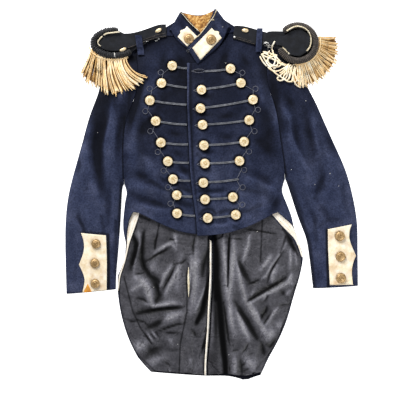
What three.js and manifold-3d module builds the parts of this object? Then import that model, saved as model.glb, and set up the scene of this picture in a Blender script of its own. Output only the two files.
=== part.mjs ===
// A military tailcoat lying on its back: millimetres, +Z up from the surface it lies on, +Y to the
// collar, -Y to the tails, +X to the wearer's left. "Right" and "left" are the wearer's.
// Cloth is a thin wall. The fronts and sleeves arch over a hollow, the backs lie flat.
import * as THREE from 'three';
import { mergeVertices } from 'three/addons/utils/BufferGeometryUtils.js';
import Module from 'manifold-3d';

const wasm = await Module();
wasm.setup();

// Driving sizes
const wool = 2;
const liningCloth = 1;
const facingCloth = 1.4;
const seam = 0.3;
const seamSide = 0.35; // each side of an upright seam, along X
const foldEdge = 2 * wool + seam; // top of a fold where front or sleeve meets the back
const lap = 22; // width of the overlap of the fronts
const lapLift = 3.4; // how much higher the upper front lies there
const buttonWidth = 24.6;
const buttonHeight = 4.5;
const smallButtonWidth = 24;
const braid = { width: 4.6, height: 1.6, step: 12 };
const cord = { width: 2.6, height: 1.6, step: 9 };
const armholeSteps = 10;
const sideSteps = 8;

const colours = {
  navy: { color: 0x232a44, roughness: 0.95, metalness: 0 },
  lining: { color: 0x2c2b2d, roughness: 0.55, metalness: 0 },
  cream: { color: 0xf3e7cd, roughness: 0.9, metalness: 0 },
  tan: { color: 0xc08a42, roughness: 0.8, metalness: 0 },
  braid: { color: 0x55505a, roughness: 0.8, metalness: 0 },
  black: { color: 0x17181c, roughness: 0.9, metalness: 0 },
  fringe: { color: 0xe8c898, roughness: 0.7, metalness: 0 },
  gilt: { color: 0xe9d09a, roughness: 0.35, metalness: 0.9 },
  brass: { color: 0x9a8050, roughness: 0.45, metalness: 0.9 },
};

const coat = new THREE.Group();

function addSolid(name, geometry, colour) {
  const mesh = new THREE.Mesh(geometry, new THREE.MeshStandardMaterial(colours[colour]));
  mesh.name = name;
  coat.add(mesh);
}

const mix = THREE.MathUtils.lerp;
const ramp = (value, from, to) => THREE.MathUtils.smoothstep(value, from, to);
const spot = (x, y, z = 0) => new THREE.Vector3(x, y, z);

// Straight-line reading of a table: every named column at a place along its key column
function readTable(rows, key, value) {
  let next = rows.findIndex((row) => row[key] >= value);
  if (next < 0) next = rows.length - 1;
  if (next === 0) next = 1;
  const low = rows[next - 1];
  const high = rows[next];
  const part = THREE.MathUtils.clamp((value - low[key]) / (high[key] - low[key]), 0, 1);
  const result = {};
  for (const name of Object.keys(low)) result[name] = mix(low[name], high[name], part);
  return result;
}

// A smooth line through a table's x and y, cut into equal steps
function evenSteps(rows, steps) {
  const points = rows.map((row) => spot(row.x, row.y));
  return new THREE.CatmullRomCurve3(points, false, 'centripetal').getSpacedPoints(steps);
}

// Closed bodies

function closedBody(points, faces) {
  const side = new THREE.Vector3();
  let volume = 0;
  for (const [a, b, c] of faces) volume += points[a].dot(side.crossVectors(points[b], points[c]));
  const geometry = new THREE.BufferGeometry();
  const places = points.flatMap((point) => [point.x, point.y, point.z]);
  geometry.setAttribute('position', new THREE.Float32BufferAttribute(places, 3));
  geometry.setIndex(faces.flatMap(([a, b, c]) => (volume < 0 ? [a, c, b] : [a, b, c])));
  return geometry;
}

function quad(faces, a, b, c, d) {
  faces.push([a, b, c], [a, c, d]);
}

// The space between two grids of the same size, closed round the rim
function wallBetween(upper, lower) {
  const rows = upper.length;
  const columns = upper[0].length;
  const points = [...upper.flat(), ...lower.flat()];
  const faces = [];
  const at = (i, j) => i * columns + j;
  const below = (i, j) => rows * columns + at(i, j);
  for (let i = 0; i + 1 < rows; i++) {
    for (let j = 0; j + 1 < columns; j++) {
      quad(faces, at(i, j), at(i, j + 1), at(i + 1, j + 1), at(i + 1, j));
      quad(faces, below(i, j), below(i + 1, j), below(i + 1, j + 1), below(i, j + 1));
    }
    quad(faces, at(i, 0), at(i + 1, 0), below(i + 1, 0), below(i, 0));
    const last = columns - 1;
    quad(faces, at(i, last), below(i, last), below(i + 1, last), at(i + 1, last));
  }
  for (let j = 0; j + 1 < columns; j++) {
    quad(faces, at(0, j), below(0, j), below(0, j + 1), at(0, j + 1));
    quad(faces, at(rows - 1, j), at(rows - 1, j + 1), below(rows - 1, j + 1), below(rows - 1, j));
  }
  return closedBody(points, faces);
}

function lowered(grid, depth) {
  return grid.map((row) => row.map((point) => spot(point.x, point.y, point.z - depth)));
}

const clothWall = (grid, depth) => wallBetween(grid, lowered(grid, depth));

// A tube wall from rings of points, open at both ends
function tubeWall(outerRings, innerRings) {
  const count = outerRings[0].length;
  const points = [...outerRings.flat(), ...innerRings.flat()];
  const inside = outerRings.length * count;
  const faces = [];
  for (let k = 0; k + 1 < outerRings.length; k++) {
    for (let i = 0; i < count; i++) {
      const j = (i + 1) % count;
      const near = k * count;
      const far = near + count;
      quad(faces, near + i, near + j, far + j, far + i);
      quad(faces, inside + near + i, inside + far + i, inside + far + j, inside + near + j);
    }
  }
  const end = (outerRings.length - 1) * count;
  for (let i = 0; i < count; i++) {
    const j = (i + 1) % count;
    quad(faces, i, inside + i, inside + j, j);
    quad(faces, end + i, end + j, inside + end + j, inside + end + i);
  }
  return closedBody(points, faces);
}

function flatPlate(outline, low, depth) {
  const shape = new THREE.Shape(outline.map((point) => new THREE.Vector2(point.x, point.y)));
  const geometry = new THREE.ExtrudeGeometry(shape, { depth, bevelEnabled: false });
  geometry.translate(0, 0, low);
  return geometry;
}

function joined(geometries) {
  let whole = null;
  for (const geometry of geometries) {
    geometry.deleteAttribute('normal');
    geometry.deleteAttribute('uv');
    const merged = mergeVertices(geometry, 1e-4);
    const vertProperties = new Float32Array(merged.attributes.position.array);
    const triVerts = new Uint32Array(merged.index.array);
    const one = new wasm.Manifold(new wasm.Mesh({ numProp: 3, vertProperties, triVerts }));
    whole = whole ? whole.add(one) : one;
  }
  const { vertProperties, triVerts } = whole.getMesh();
  const geometry = new THREE.BufferGeometry();
  geometry.setAttribute('position', new THREE.Float32BufferAttribute(vertProperties, 3));
  geometry.setIndex(Array.from(triVerts));
  return geometry;
}

// Laying one piece on others: a surface is the grid of a piece's top face

function heightInFacet(a, b, c, x, y) {
  const area = (b.x - a.x) * (c.y - a.y) - (c.x - a.x) * (b.y - a.y);
  if (Math.abs(area) < 1e-9) return -Infinity;
  const toB = ((x - a.x) * (c.y - a.y) - (c.x - a.x) * (y - a.y)) / area;
  const toC = ((b.x - a.x) * (y - a.y) - (x - a.x) * (b.y - a.y)) / area;
  if (toB < 0 || toC < 0 || toB + toC > 1) return -Infinity;
  return a.z + toB * (b.z - a.z) + toC * (c.z - a.z);
}

function heightOn(grid, x, y) {
  let height = -Infinity;
  for (let i = 0; i + 1 < grid.length; i++) {
    for (let j = 0; j + 1 < grid[0].length; j++) {
      const [a, b, c, d] = [grid[i][j], grid[i][j + 1], grid[i + 1][j + 1], grid[i + 1][j]];
      height = Math.max(height, heightInFacet(a, b, c, x, y), heightInFacet(a, c, d, x, y));
    }
  }
  return height;
}

// Highest point under a place and its neighbours at a given reach, the table included
function restHeight(surfaces, x, y, reach = 0) {
  let height = 0;
  const places = [[0, 0]];
  if (reach > 0) places.push([reach, 0], [-reach, 0], [0, reach], [0, -reach]);
  for (const [dx, dy] of places) {
    for (const surface of surfaces) height = Math.max(height, heightOn(surface, x + dx, y + dy));
  }
  return height;
}

// Moves a sheet straight up or down until its closest point is just above the surfaces
function seated(grid, depth, surfaces, air = seam + 0.1) {
  const steps = Array.from({ length: 11 }, (_, i) => i / 10);
  let clearance = Infinity;
  for (let i = 0; i + 1 < grid.length; i++) {
    for (let j = 0; j + 1 < grid[0].length; j++) {
      for (const across of steps) {
        for (const down of steps) {
          const near = new THREE.Vector3().lerpVectors(grid[i][j], grid[i][j + 1], across);
          const far = new THREE.Vector3().lerpVectors(grid[i + 1][j], grid[i + 1][j + 1], across);
          const point = near.lerp(far, down);
          const below = restHeight(surfaces, point.x, point.y);
          clearance = Math.min(clearance, point.z - depth - below);
        }
      }
    }
  }
  return lowered(grid, clearance - air);
}

// Grid between two edges given row by row, with its height left to the caller
function sheetRows(rows, columns, height) {
  const grid = [];
  for (const row of rows) {
    const line = [];
    for (let j = 0; j <= columns; j++) {
      const x = mix(row.outX, row.inX, j / columns);
      const y = mix(row.outY, row.inY, j / columns);
      line.push(spot(x, y, height(x, y, row, j / columns)));
    }
    grid.push(line);
  }
  return grid;
}

// Soft ridges and troughs: each row is a line with its lift and its half width
function foldHeight(folds, x, y) {
  let height = 0;
  for (const fold of folds) {
    const line = new THREE.Vector2(fold.toX - fold.fromX, fold.toY - fold.fromY);
    const along = ((x - fold.fromX) * line.x + (y - fold.fromY) * line.y) / line.lengthSq();
    const part = THREE.MathUtils.clamp(along, 0, 1);
    const away = Math.hypot(x - fold.fromX - part * line.x, y - fold.fromY - part * line.y);
    height += fold.lift * Math.exp(-((away / fold.width) ** 2));
  }
  return height;
}

// Outlines shared by the pieces of one side

const sides = {
  right: {
    outward: -1,
    armhole: [
      { x: -198.9, y: 383.5 }, { x: -191.1, y: 344.5 }, { x: -189.5, y: 302.9 },
      { x: -191.6, y: 266.5 }, { x: -206, y: 231 }, { x: -221.8, y: 189.8 },
      { x: -227.5, y: 141.7 }, { x: -228.5, y: 89.7 }, { x: -226.5, y: 27.3 },
    ],
    sideSeam: [
      { x: -225.7, y: 27.3 }, { x: -220, y: 8 }, { x: -222, y: -18 }, { x: -227.5, y: -46 },
      { x: -230, y: -79.3 }, { x: -228, y: -104 }, { x: -222.3, y: -125.6 },
    ],
    frontTop: [
      { u: 0, x: -198.9, y: 383.5, z: 4.3 }, { u: 0.56, x: -112, y: 421.5, z: 6 },
      { u: 0.68, x: -92, y: 401, z: 8.7 }, { u: 0.78, x: -76, y: 390.5, z: 8.7 },
      { u: 0.89, x: -61, y: 381.5, z: 8.7 }, { u: 1, x: -42, y: 358, z: 8.7 },
    ],
    hem: [
      { u: 0, x: -222.3, y: -125.6 }, { u: 0.05, x: -220.2, y: -92.3 },
      { u: 0.12, x: -215, y: -63.7 }, { u: 0.2, x: -202.8, y: -45.5 },
      { u: 0.32, x: -186.9, y: -47.3 }, { u: 0.44, x: -146.9, y: -68.9 },
      { u: 0.56, x: -118, y: -82 }, { u: 0.68, x: -92, y: -93 }, { u: 0.78, x: -68, y: -99 },
      { u: 0.89, x: -42, y: -102.6 }, { u: 1, x: -14.7, y: -104.5 },
    ],
    tail: [
      { x: -223.5, y: -140 }, { x: -224.8, y: -163.5 }, { x: -232, y: -185 },
      { x: -243, y: -209.3 }, { x: -244.7, y: -245.7 }, { x: -241.3, y: -274.3 },
      { x: -236.6, y: -304.5 }, { x: -227.5, y: -340.9 }, { x: -212.9, y: -383 },
      { x: -191.1, y: -423 }, { x: -172.6, y: -444.9 }, { x: -157.3, y: -460.5 },
      { x: -118.3, y: -464.1 }, { x: -81.9, y: -466.7 }, { x: -50, y: -469 },
    ],
  },
  left: {
    outward: 1,
    armhole: [
      { x: 146.9, y: 386.1 }, { x: 143, y: 349.7 }, { x: 143, y: 308.1 },
      { x: 146.6, y: 273.5 }, { x: 158.1, y: 245.7 }, { x: 167, y: 215 },
      { x: 173.2, y: 180.7 }, { x: 177.5, y: 141.7 }, { x: 186.2, y: 94.9 }, { x: 191, y: 40.3 },
    ],
    sideSeam: [
      { x: 190.1, y: 40.3 }, { x: 182.5, y: 8.6 }, { x: 191.9, y: -14.3 },
      { x: 198.9, y: -32.5 }, { x: 208.5, y: -58 }, { x: 212.7, y: -81.9 },
    ],
    frontTop: [
      { u: 0, x: 146.9, y: 386.1, z: 4.3 }, { u: 0.42, x: 53, y: 428.5, z: 6.5 },
      { u: 0.52, x: 33, y: 393, z: 11.6 }, { u: 0.62, x: 11, y: 378, z: 11.6 },
      { u: 0.72, x: -12, y: 360, z: 11.6 }, { u: 0.85, x: -38, y: 340, z: 11.6 },
      { u: 1, x: -63.5, y: 341, z: 11.6 },
    ],
    hem: [
      { u: 0, x: 212.7, y: -81.9 }, { u: 0.05, x: 203, y: -71 }, { u: 0.12, x: 188.5, y: -58.5 },
      { u: 0.2, x: 172.1, y: -46 }, { u: 0.3, x: 156.3, y: -52.3 }, { u: 0.42, x: 118, y: -73 },
      { u: 0.52, x: 92, y: -84 }, { u: 0.62, x: 60, y: -95 }, { u: 0.72, x: 34, y: -101 },
      { u: 0.85, x: 0, y: -105.5 }, { u: 1, x: -36.7, y: -107.1 },
    ],
    tail: [
      { x: 219, y: -100 }, { x: 225.5, y: -119.9 }, { x: 235.6, y: -149.5 },
      { x: 237.6, y: -167.4 }, { x: 234.8, y: -187.5 }, { x: 226.7, y: -222.3 },
      { x: 218.7, y: -245.7 }, { x: 207.7, y: -283.9 }, { x: 198.9, y: -317.7 },
      { x: 184.9, y: -355.7 }, { x: 165.1, y: -395.5 }, { x: 147.2, y: -425.1 },
      { x: 135.2, y: -453.2 }, { x: 127.1, y: -469 }, { x: 109.5, y: -474 },
      { x: 95.4, y: -480 }, { x: 80.6, y: -481 }, { x: 70, y: -476.8 }, { x: 41.6, y: -470.5 },
    ],
  },
};

// Front edge of the upper (left) front, from the neck to the hem
const lapEdge = [
  { y: 341, x: -63.5 }, { y: 297, x: -62.6 }, { y: 245, x: -63.5 }, { y: 141, x: -59 },
  { y: 79, x: -56.4 }, { y: 35, x: -52.8 }, { y: -6, x: -47.8 }, { y: -57, x: -40.3 },
  { y: -107, x: -36.7 },
].reverse();

// Slit between the tails: it continues the centre-back seam
const ventLine = [
  { y: 383, x: -30 }, { y: -100, x: -2.9 }, { y: -222, x: -2.1 }, { y: -286, x: -6.8 },
  { y: -350, x: -9.4 }, { y: -404, x: -14 }, { y: -447, x: -17.7 }, { y: -471, x: -16.6 },
].reverse();
const ventTop = -100;
const ventX = (y) => readTable(ventLine, 'y', y).x;

for (const side of Object.values(sides)) {
  side.armholePoints = evenSteps(side.armhole, armholeSteps);
  side.sidePoints = evenSteps(side.sideSeam, sideSteps).slice(1);
}

// Height of the arch over the armhole and over a sleeve, from fold to fold
const arch = (across, rise) => foldEdge + rise * (4 * across * (1 - across)) ** 0.6;
const armholeRise = 17;

// Fronts

// Height of the breast down the middle of the body
const crown = [
  { y: -107, z: 12.5 }, { y: -40, z: 16.5 }, { y: 40, z: 21.5 }, { y: 145, z: 24 },
  { y: 245, z: 20.5 }, { y: 300, z: 13 }, { y: 328, z: 8.8 }, { y: 430, z: 8.7 },
];
const hipFold = { high: foldEdge, low: 6.6 }; // the side fold's top, lifted over the facing

function frontGrid(side, lift) {
  const edge = [...side.armholePoints, ...side.sidePoints];
  const lengths = [0];
  for (let i = 1; i < edge.length; i++) {
    lengths.push(lengths[i - 1] + edge[i].distanceTo(edge[i - 1]));
  }
  const topEnd = side.frontTop.at(-1);
  const hemEnd = side.hem.at(-1);
  const shift = side === sides.right ? lap : 0;
  return edge.map((place, i) => {
    const v = lengths[i] / lengths.at(-1);
    const centreY = mix(topEnd.y, hemEnd.y, v);
    const centreX = readTable(lapEdge, 'y', centreY).x + shift;
    const sideX = place.x - seamSide * side.outward;
    const overArmhole = i <= armholeSteps;
    const sideZ = overArmhole
      ? arch(i / armholeSteps, armholeRise)
      : mix(hipFold.high, hipFold.low, ramp(-place.y, 0, 40));
    return side.hem.map(({ u }) => {
      const top = readTable(side.frontTop, 'u', u);
      const hem = readTable(side.hem, 'u', u);
      const flatX = mix(mix(edge[0].x, topEnd.x, u), mix(edge.at(-1).x, hemEnd.x, u), v);
      const flatY = mix(mix(edge[0].y, topEnd.y, u), mix(edge.at(-1).y, hemEnd.y, u), v);
      const x = mix(top.x, hem.x, v) + mix(sideX, centreX, u) - flatX;
      const y = mix(top.y, hem.y, v) + mix(place.y, centreY, u) - flatY;
      const full = mix(sideZ, readTable(crown, 'y', y).z, 1 - (1 - u) ** 2.5);
      const body = full + lift * ramp(u, 0.35, 0.7);
      const nearTop = ramp(v, 0, 0.07);
      return spot(x, y, u === 0 ? sideZ : mix(top.z, body, nearTop));
    });
  });
}

const frontGrids = {
  right: frontGrid(sides.right, 0),
  left: frontGrid(sides.left, lapLift),
};
for (const name of ['right', 'left']) {
  addSolid(`front_${name}`, clothWall(frontGrids[name], wool), 'navy');
}

// Backs: one flat piece a side, from the shoulder to the end of the tail

const backNeck = {
  right: [{ x: -112, y: 421 }, { x: -106, y: 424 }, { x: -82, y: 395.8 }, { x: -30.3, y: 382.8 }],
  left: [{ x: 53, y: 428 }, { x: 44, y: 430.5 }, { x: 19.6, y: 398.4 }, { x: -29.7, y: 382.8 }],
};
const ventOverlap = { right: 3, left: 3.4 }; // the vent's edge belongs to the right tail

for (const [name, side] of Object.entries(sides)) {
  const vent = ventLine.filter((row) => row.y <= ventTop).reverse();
  const outline = [spot(side.armholePoints[0].x, side.armholePoints[0].y)];
  outline.push(...backNeck[name].map((row) => spot(row.x, row.y)));
  outline.push(spot(ventX(ventTop) + 0.3 * side.outward, ventTop + 8));
  outline.push(...vent.map((row) => spot(row.x + ventOverlap[name], row.y)));
  outline.push(...side.tail.toReversed().map((row) => spot(row.x, row.y)));
  outline.push(...side.sidePoints.toReversed());
  for (let i = armholeSteps; i > 0; i -= 2) {
    const inset = seamSide * side.outward;
    outline.push(spot(side.armholePoints[i].x - inset, side.armholePoints[i].y));
  }
  addSolid(`back_${name}`, flatPlate(outline, 0, wool), 'navy');
}

// Sleeves: each row is a ring from the outer fold to the inner one

const sleeveRings = {
  right: [
    { outX: -198.9, outY: 383.5, inX: -226.5, inY: 27.3, rise: 17 },
    { outX: -226, outY: 381, inX: -228.5, inY: 25, rise: 18 },
    { outX: -252, outY: 366, inX: -230, inY: 22, rise: 18 },
    { outX: -273, outY: 341, inX: -231.3, inY: 17, rise: 18 },
    { outX: -285, outY: 303, inX: -232.3, inY: 8, rise: 19 },
    { outX: -292.5, outY: 262, inX: -233.2, inY: -6, rise: 19 },
    { outX: -316, outY: 210, inX: -234, inY: -22, rise: 20 },
    { outX: -333.3, outY: 140.7, inX: -235, inY: -44, rise: 20 },
    { outX: -351.5, outY: 77, inX: -236.6, inY: -72, rise: 19 },
    { outX: -369.7, outY: 11.2, inX: -238.6, inY: -102, rise: 18 },
    { outX: -377.3, outY: -40.3, inX: -241, inY: -134, rise: 17 },
    { outX: -380, outY: -95, inX: -243.6, inY: -165, rise: 15 },
    { outX: -379.4, outY: -150, inX: -246.4, inY: -193, rise: 14 },
    { outX: -378, outY: -205, inX: -248, inY: -219, rise: 13 },
    { outX: -376.4, outY: -258, inX: -248.6, inY: -246, rise: 12 },
  ],
  left: [
    { outX: 146.9, outY: 386.1, inX: 191, inY: 40.3, rise: 17 },
    { outX: 172, outY: 385, inX: 193.2, inY: 37, rise: 18 },
    { outX: 197, outY: 374, inX: 195, inY: 33, rise: 18 },
    { outX: 219.7, outY: 349.7, inX: 196.8, inY: 27.3, rise: 18 },
    { outX: 236, outY: 315, inX: 200, inY: 18, rise: 19 },
    { outX: 249, outY: 277, inX: 204, inY: 6, rise: 19 },
    { outX: 268.1, outY: 245.7, inX: 209, inY: -9, rise: 20 },
    { outX: 289.9, outY: 193.7, inX: 215.5, inY: -30, rise: 20 },
    { outX: 313.6, outY: 141.7, inX: 224, inY: -56, rise: 20 },
    { outX: 334, outY: 97, inX: 235.5, inY: -86, rise: 19 },
    { outX: 352, outY: 55.9, inX: 246.5, inY: -111.8, rise: 18 },
    { outX: 369.5, outY: -14.3, inX: 251.5, inY: -142, rise: 17 },
    { outX: 379.5, outY: -75, inX: 255.5, inY: -172, rise: 15 },
    { outX: 379, outY: -130, inX: 258.6, inY: -197, rise: 14 },
    { outX: 379.8, outY: -185, inX: 261.2, inY: -220, rise: 13 },
    { outX: 380.1, outY: -237, inX: 264, inY: -243.4, rise: 12 },
  ],
};

const sleeveFolds = {
  right: [
    { fromX: -274, fromY: 194, toX: -297, toY: 130, width: 13, lift: -4 },
    { fromX: -297, fromY: 130, toX: -290, toY: 20, width: 13, lift: -5 },
    { fromX: -290, fromY: 20, toX: -276, toY: -30, width: 12, lift: -4 },
    { fromX: -330, fromY: 134, toX: -326, toY: 66, width: 12, lift: 3 },
    { fromX: -326, fromY: 66, toX: -345, toY: 10, width: 12, lift: 2.5 },
    { fromX: -322, fromY: 60, toX: -292, toY: -52, width: 12, lift: 3 },
  ],
  left: [
    { fromX: 199, fromY: 153, toX: 240, toY: 70, width: 13, lift: 3 },
    { fromX: 240, fromY: 70, toX: 257, toY: -35, width: 13, lift: 3.5 },
    { fromX: 292, fromY: 52, toX: 264, toY: -4, width: 12, lift: -5 },
    { fromX: 216, fromY: 120, toX: 226, toY: 20, width: 10, lift: -3 },
    { fromX: 320, fromY: 20, toX: 290, toY: -50, width: 14, lift: 3 },
  ],
};

const sleeveSlots = Array.from({ length: armholeSteps + 1 }, (_, i) => i / armholeSteps);
const armholeFade = 3; // rings over which the armhole's curve straightens out
const sleeveGrids = {};

for (const [name, side] of Object.entries(sides)) {
  const rings = sleeveRings[name];
  const outer = [];
  const inner = [];
  const top = [];
  rings.forEach((ring, k) => {
    const bend = (1 - k / armholeFade) ** 2 * (k < armholeFade ? 1 : 0);
    const clear = k === 0 ? seamSide * side.outward : 0;
    const placeAt = (across) => {
      const seamPoint = side.armholePoints[Math.round(across * armholeSteps)];
      const first = rings[0];
      const bowX = seamPoint.x - mix(first.outX, first.inX, across);
      const bowY = seamPoint.y - mix(first.outY, first.inY, across);
      const x = mix(ring.outX, ring.inX, across) + bend * bowX + clear;
      return spot(x, mix(ring.outY, ring.inY, across) + bend * bowY);
    };
    const topLine = sleeveSlots.map((across) => {
      const point = placeAt(across);
      const atEnd = k === 0 || k + 1 === rings.length;
      const folded = atEnd ? 0 : foldHeight(sleeveFolds[name], point.x, point.y);
      const open = Math.sin(Math.PI * across);
      point.z = arch(across, ring.rise) + folded * open;
      return point;
    });
    const underSlots = sleeveSlots.filter((_, i) => i % 2 === 0).toReversed();
    const bottomLine = underSlots.map((across) => placeAt(across));
    const shrink = (line, height) => line.map((point, i) => {
      const atEnd = i === 0 || i === line.length - 1;
      const other = line[i === 0 ? 1 : line.length - 2];
      const step = atEnd ? wool / point.distanceTo(other) : 0;
      const moved = atEnd ? point.clone().lerp(other, Math.min(step, 0.45)) : point.clone();
      moved.z = height(point, atEnd);
      return moved;
    });
    const innerTop = shrink(topLine, (point, atEnd) => (atEnd ? wool + 0.25 : point.z - wool));
    const innerBottom = shrink(bottomLine, () => wool);
    top.push(topLine);
    outer.push([...topLine, ...bottomLine]);
    inner.push([...innerTop, ...innerBottom]);
  });
  sleeveGrids[name] = top;
  addSolid(`sleeve_${name}`, tubeWall(outer, inner), 'navy');
}

// Cuff flaps: cream, pointed on the outer side at the top, the middle and the bottom

const cuffFlaps = {
  right: [
    { outX: -336.7, outY: -99.6, inX: -272.7, inY: -105.6 },
    { outX: -330.5, outY: -117, inX: -272, inY: -118 },
    { outX: -328.4, outY: -131, inX: -271.5, inY: -133 },
    { outX: -329.9, outY: -152, inX: -270.8, inY: -154 },
    { outX: -342.5, outY: -181, inX: -270.4, inY: -180 },
    { outX: -328.5, outY: -210, inX: -270.8, inY: -208 },
    { outX: -327, outY: -226, inX: -271, inY: -226 },
    { outX: -334, outY: -253.5, inX: -271.2, inY: -247.6 },
  ],
  left: [
    { outX: 362.5, outY: -77.5, inX: 299.8, inY: -89.7 },
    { outX: 355.5, outY: -94, inX: 300, inY: -104 },
    { outX: 355, outY: -117, inX: 300.3, inY: -122 },
    { outX: 365, outY: -139, inX: 301, inY: -144 },
    { outX: 374, outY: -158.6, inX: 302, inY: -164 },
    { outX: 364, outY: -180, inX: 303, inY: -184 },
    { outX: 361.9, outY: -205, inX: 304.2, inY: -206 },
    { outX: 366, outY: -233.5, inX: 305.5, inY: -234 },
  ],
};
const cuffGrids = {};
for (const name of ['right', 'left']) {
  const under = [sleeveGrids[name]];
  const height = (x, y) => restHeight(under, x, y, 3) + facingCloth;
  cuffGrids[name] = seated(sheetRows(cuffFlaps[name], 6, height), facingCloth, under);
  addSolid(`cuff_flap_${name}`, clothWall(cuffGrids[name], facingCloth), 'cream');
}

// Tails: lining, the cream facings of the front edges and the vent's cream edge

const tailEdges = {
  right: [
    { outX: -207, outY: -33, inX: -189, inY: -40 },
    { outX: -202.4, outY: -45, inX: -187.5, inY: -52 },
    { outX: -214.6, outY: -63.7, inX: -193.5, inY: -70 },
    { outX: -218.5, outY: -90, inX: -201, inY: -92 },
    { outX: -219.5, outY: -114, inX: -209.5, inY: -114 },
    { outX: -219.5, outY: -135, inX: -215, inY: -135 },
    { outX: -224, outY: -160, inX: -220.6, inY: -161.5 },
    { outX: -231, outY: -185, inX: -227.5, inY: -187 },
    { outX: -241.8, outY: -211, inX: -238.2, inY: -213 },
    { outX: -244, outY: -250, inX: -240.5, inY: -250 },
  ],
  left: [
    { outX: 166, outY: -38, inX: 151, inY: -43 },
    { outX: 171.8, outY: -46.5, inX: 157.5, inY: -52 },
    { outX: 188, outY: -59.5, inX: 172, inY: -69 },
    { outX: 203, outY: -72.5, inX: 186, inY: -85 },
    { outX: 212.5, outY: -84, inX: 200, inY: -98.5 },
    { outX: 218.3, outY: -100, inX: 213.5, inY: -112 },
    { outX: 224.6, outY: -120, inX: 221, inY: -124 },
    { outX: 234.5, outY: -148, inX: 230.5, inY: -149.5 },
    { outX: 236.8, outY: -162, inX: 233.6, inY: -162 },
  ],
};
const facingTop = wool + seam + facingCloth;
for (const name of ['right', 'left']) {
  const grid = sheetRows(tailEdges[name], 2, () => facingTop);
  addSolid(`tail_edge_${name}`, clothWall(grid, facingCloth), 'cream');
}

const ventStrip = { from: -104, to: -470, width: 5, depth: 2 };
const ventRows = [];
for (let y = ventStrip.from; y >= ventStrip.to; y -= 30.5) {
  ventRows.push({ outX: ventX(y) - 2.2, outY: y, inX: ventX(y) + ventStrip.width - 2.2, inY: y });
}
const ventGrid = sheetRows(ventRows, 1, () => wool + seam + ventStrip.depth);
addSolid('vent_edge', clothWall(ventGrid, ventStrip.depth), 'cream');

// Lining outlines: outer edge beside the facing, inner edge beside the vent
const liningRows = {
  right: [
    { outX: -186, outY: -42, inX: -6, inY: -92 },
    { outX: -188.3, outY: -62, inX: -6, inY: -108 },
    { outX: -199.5, outY: -92.5, inX: -5.8, inY: -126 },
    { outX: -208, outY: -114, inX: -5.6, inY: -146 },
    { outX: -214, outY: -136, inX: -5.4, inY: -168 },
    { outX: -219.4, outY: -162.5, inX: -5.2, inY: -190 },
    { outX: -226.6, outY: -188, inX: -5.4, inY: -213 },
    { outX: -237.2, outY: -214.5, inX: -6.8, inY: -236 },
    { outX: -239.4, outY: -251, inX: -8.6, inY: -262 },
    { outX: -238, outY: -276, inX: -10.4, inY: -288 },
    { outX: -233.5, outY: -306, inX: -11.6, inY: -315 },
    { outX: -224.2, outY: -341, inX: -13, inY: -345 },
    { outX: -210, outY: -382, inX: -16.2, inY: -384 },
    { outX: -188.8, outY: -421, inX: -19.4, inY: -420 },
    { outX: -170.5, outY: -442.5, inX: -21.4, inY: -448 },
    { outX: -156.3, outY: -457, inX: -20.4, inY: -467 },
  ],
  left: [
    { outX: 150, outY: -48, inX: 6, inY: -92 },
    { outX: 166, outY: -67, inX: 6, inY: -108 },
    { outX: 184.5, outY: -87.5, inX: 6.4, inY: -126 },
    { outX: 199, outY: -101, inX: 7, inY: -146 },
    { outX: 212, outY: -114.5, inX: 7, inY: -166 },
    { outX: 228, outY: -149.5, inX: 6.6, inY: -190 },
    { outX: 234, outY: -170, inX: 6, inY: -213 },
    { outX: 232, outY: -188, inX: 4.6, inY: -236 },
    { outX: 223.8, outY: -222, inX: 2.6, inY: -262 },
    { outX: 215.6, outY: -246, inX: 1, inY: -288 },
    { outX: 204.6, outY: -284, inX: -0.6, inY: -315 },
    { outX: 195.6, outY: -318, inX: -2.2, inY: -345 },
    { outX: 182, outY: -355, inX: -5, inY: -384 },
    { outX: 162.3, outY: -394.5, inX: -8.4, inY: -420 },
    { outX: 144.6, outY: -424, inX: -10.4, inY: -448 },
    { outX: 131, outY: -458, inX: -9.4, inY: -467 },
  ],
};

const tailFolds = {
  right: [
    { fromX: -160, fromY: -95, toX: -178, toY: -150, width: 11, lift: 4 },
    { fromX: -178, fromY: -150, toX: -150, toY: -215, width: 12, lift: 4.5 },
    { fromX: -205, fromY: -135, toX: -214, toY: -200, width: 9, lift: 3.5 },
    { fromX: -125, fromY: -110, toX: -120, toY: -200, width: 15, lift: 4 },
    { fromX: -120, fromY: -200, toX: -150, toY: -275, width: 13, lift: 4.5 },
    { fromX: -70, fromY: -110, toX: -60, toY: -240, width: 17, lift: 3.5 },
    { fromX: -40, fromY: -120, toX: -30, toY: -300, width: 12, lift: 3 },
    { fromX: -190, fromY: -300, toX: -90, toY: -278, width: 12, lift: 4 },
    { fromX: -215, fromY: -250, toX: -185, toY: -370, width: 12, lift: 4 },
    { fromX: -150, fromY: -350, toX: -85, toY: -345, width: 12, lift: 4 },
    { fromX: -90, fromY: -370, toX: -84, toY: -440, width: 13, lift: 3.5 },
    { fromX: -160, fromY: -390, toX: -120, toY: -440, width: 14, lift: 3 },
  ],
  left: [
    { fromX: 66, fromY: -110, toX: 68, toY: -240, width: 13, lift: 4.5 },
    { fromX: 68, fromY: -240, toX: 120, toY: -330, width: 13, lift: 4.5 },
    { fromX: 120, fromY: -330, toX: 142, toY: -370, width: 13, lift: 3.5 },
    { fromX: 100, fromY: -262, toX: 190, toY: -212, width: 12, lift: 4.5 },
    { fromX: 120, fromY: -110, toX: 128, toY: -200, width: 15, lift: 3.5 },
    { fromX: 175, fromY: -110, toX: 205, toY: -190, width: 12, lift: 3.5 },
    { fromX: 30, fromY: -150, toX: 28, toY: -330, width: 10, lift: 3.5 },
    { fromX: 60, fromY: -330, toX: 90, toY: -420, width: 14, lift: 4 },
    { fromX: 160, fromY: -290, toX: 130, toY: -380, width: 13, lift: 4 },
    { fromX: 20, fromY: -380, toX: 60, toY: -450, width: 13, lift: 3.5 },
  ],
};

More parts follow.
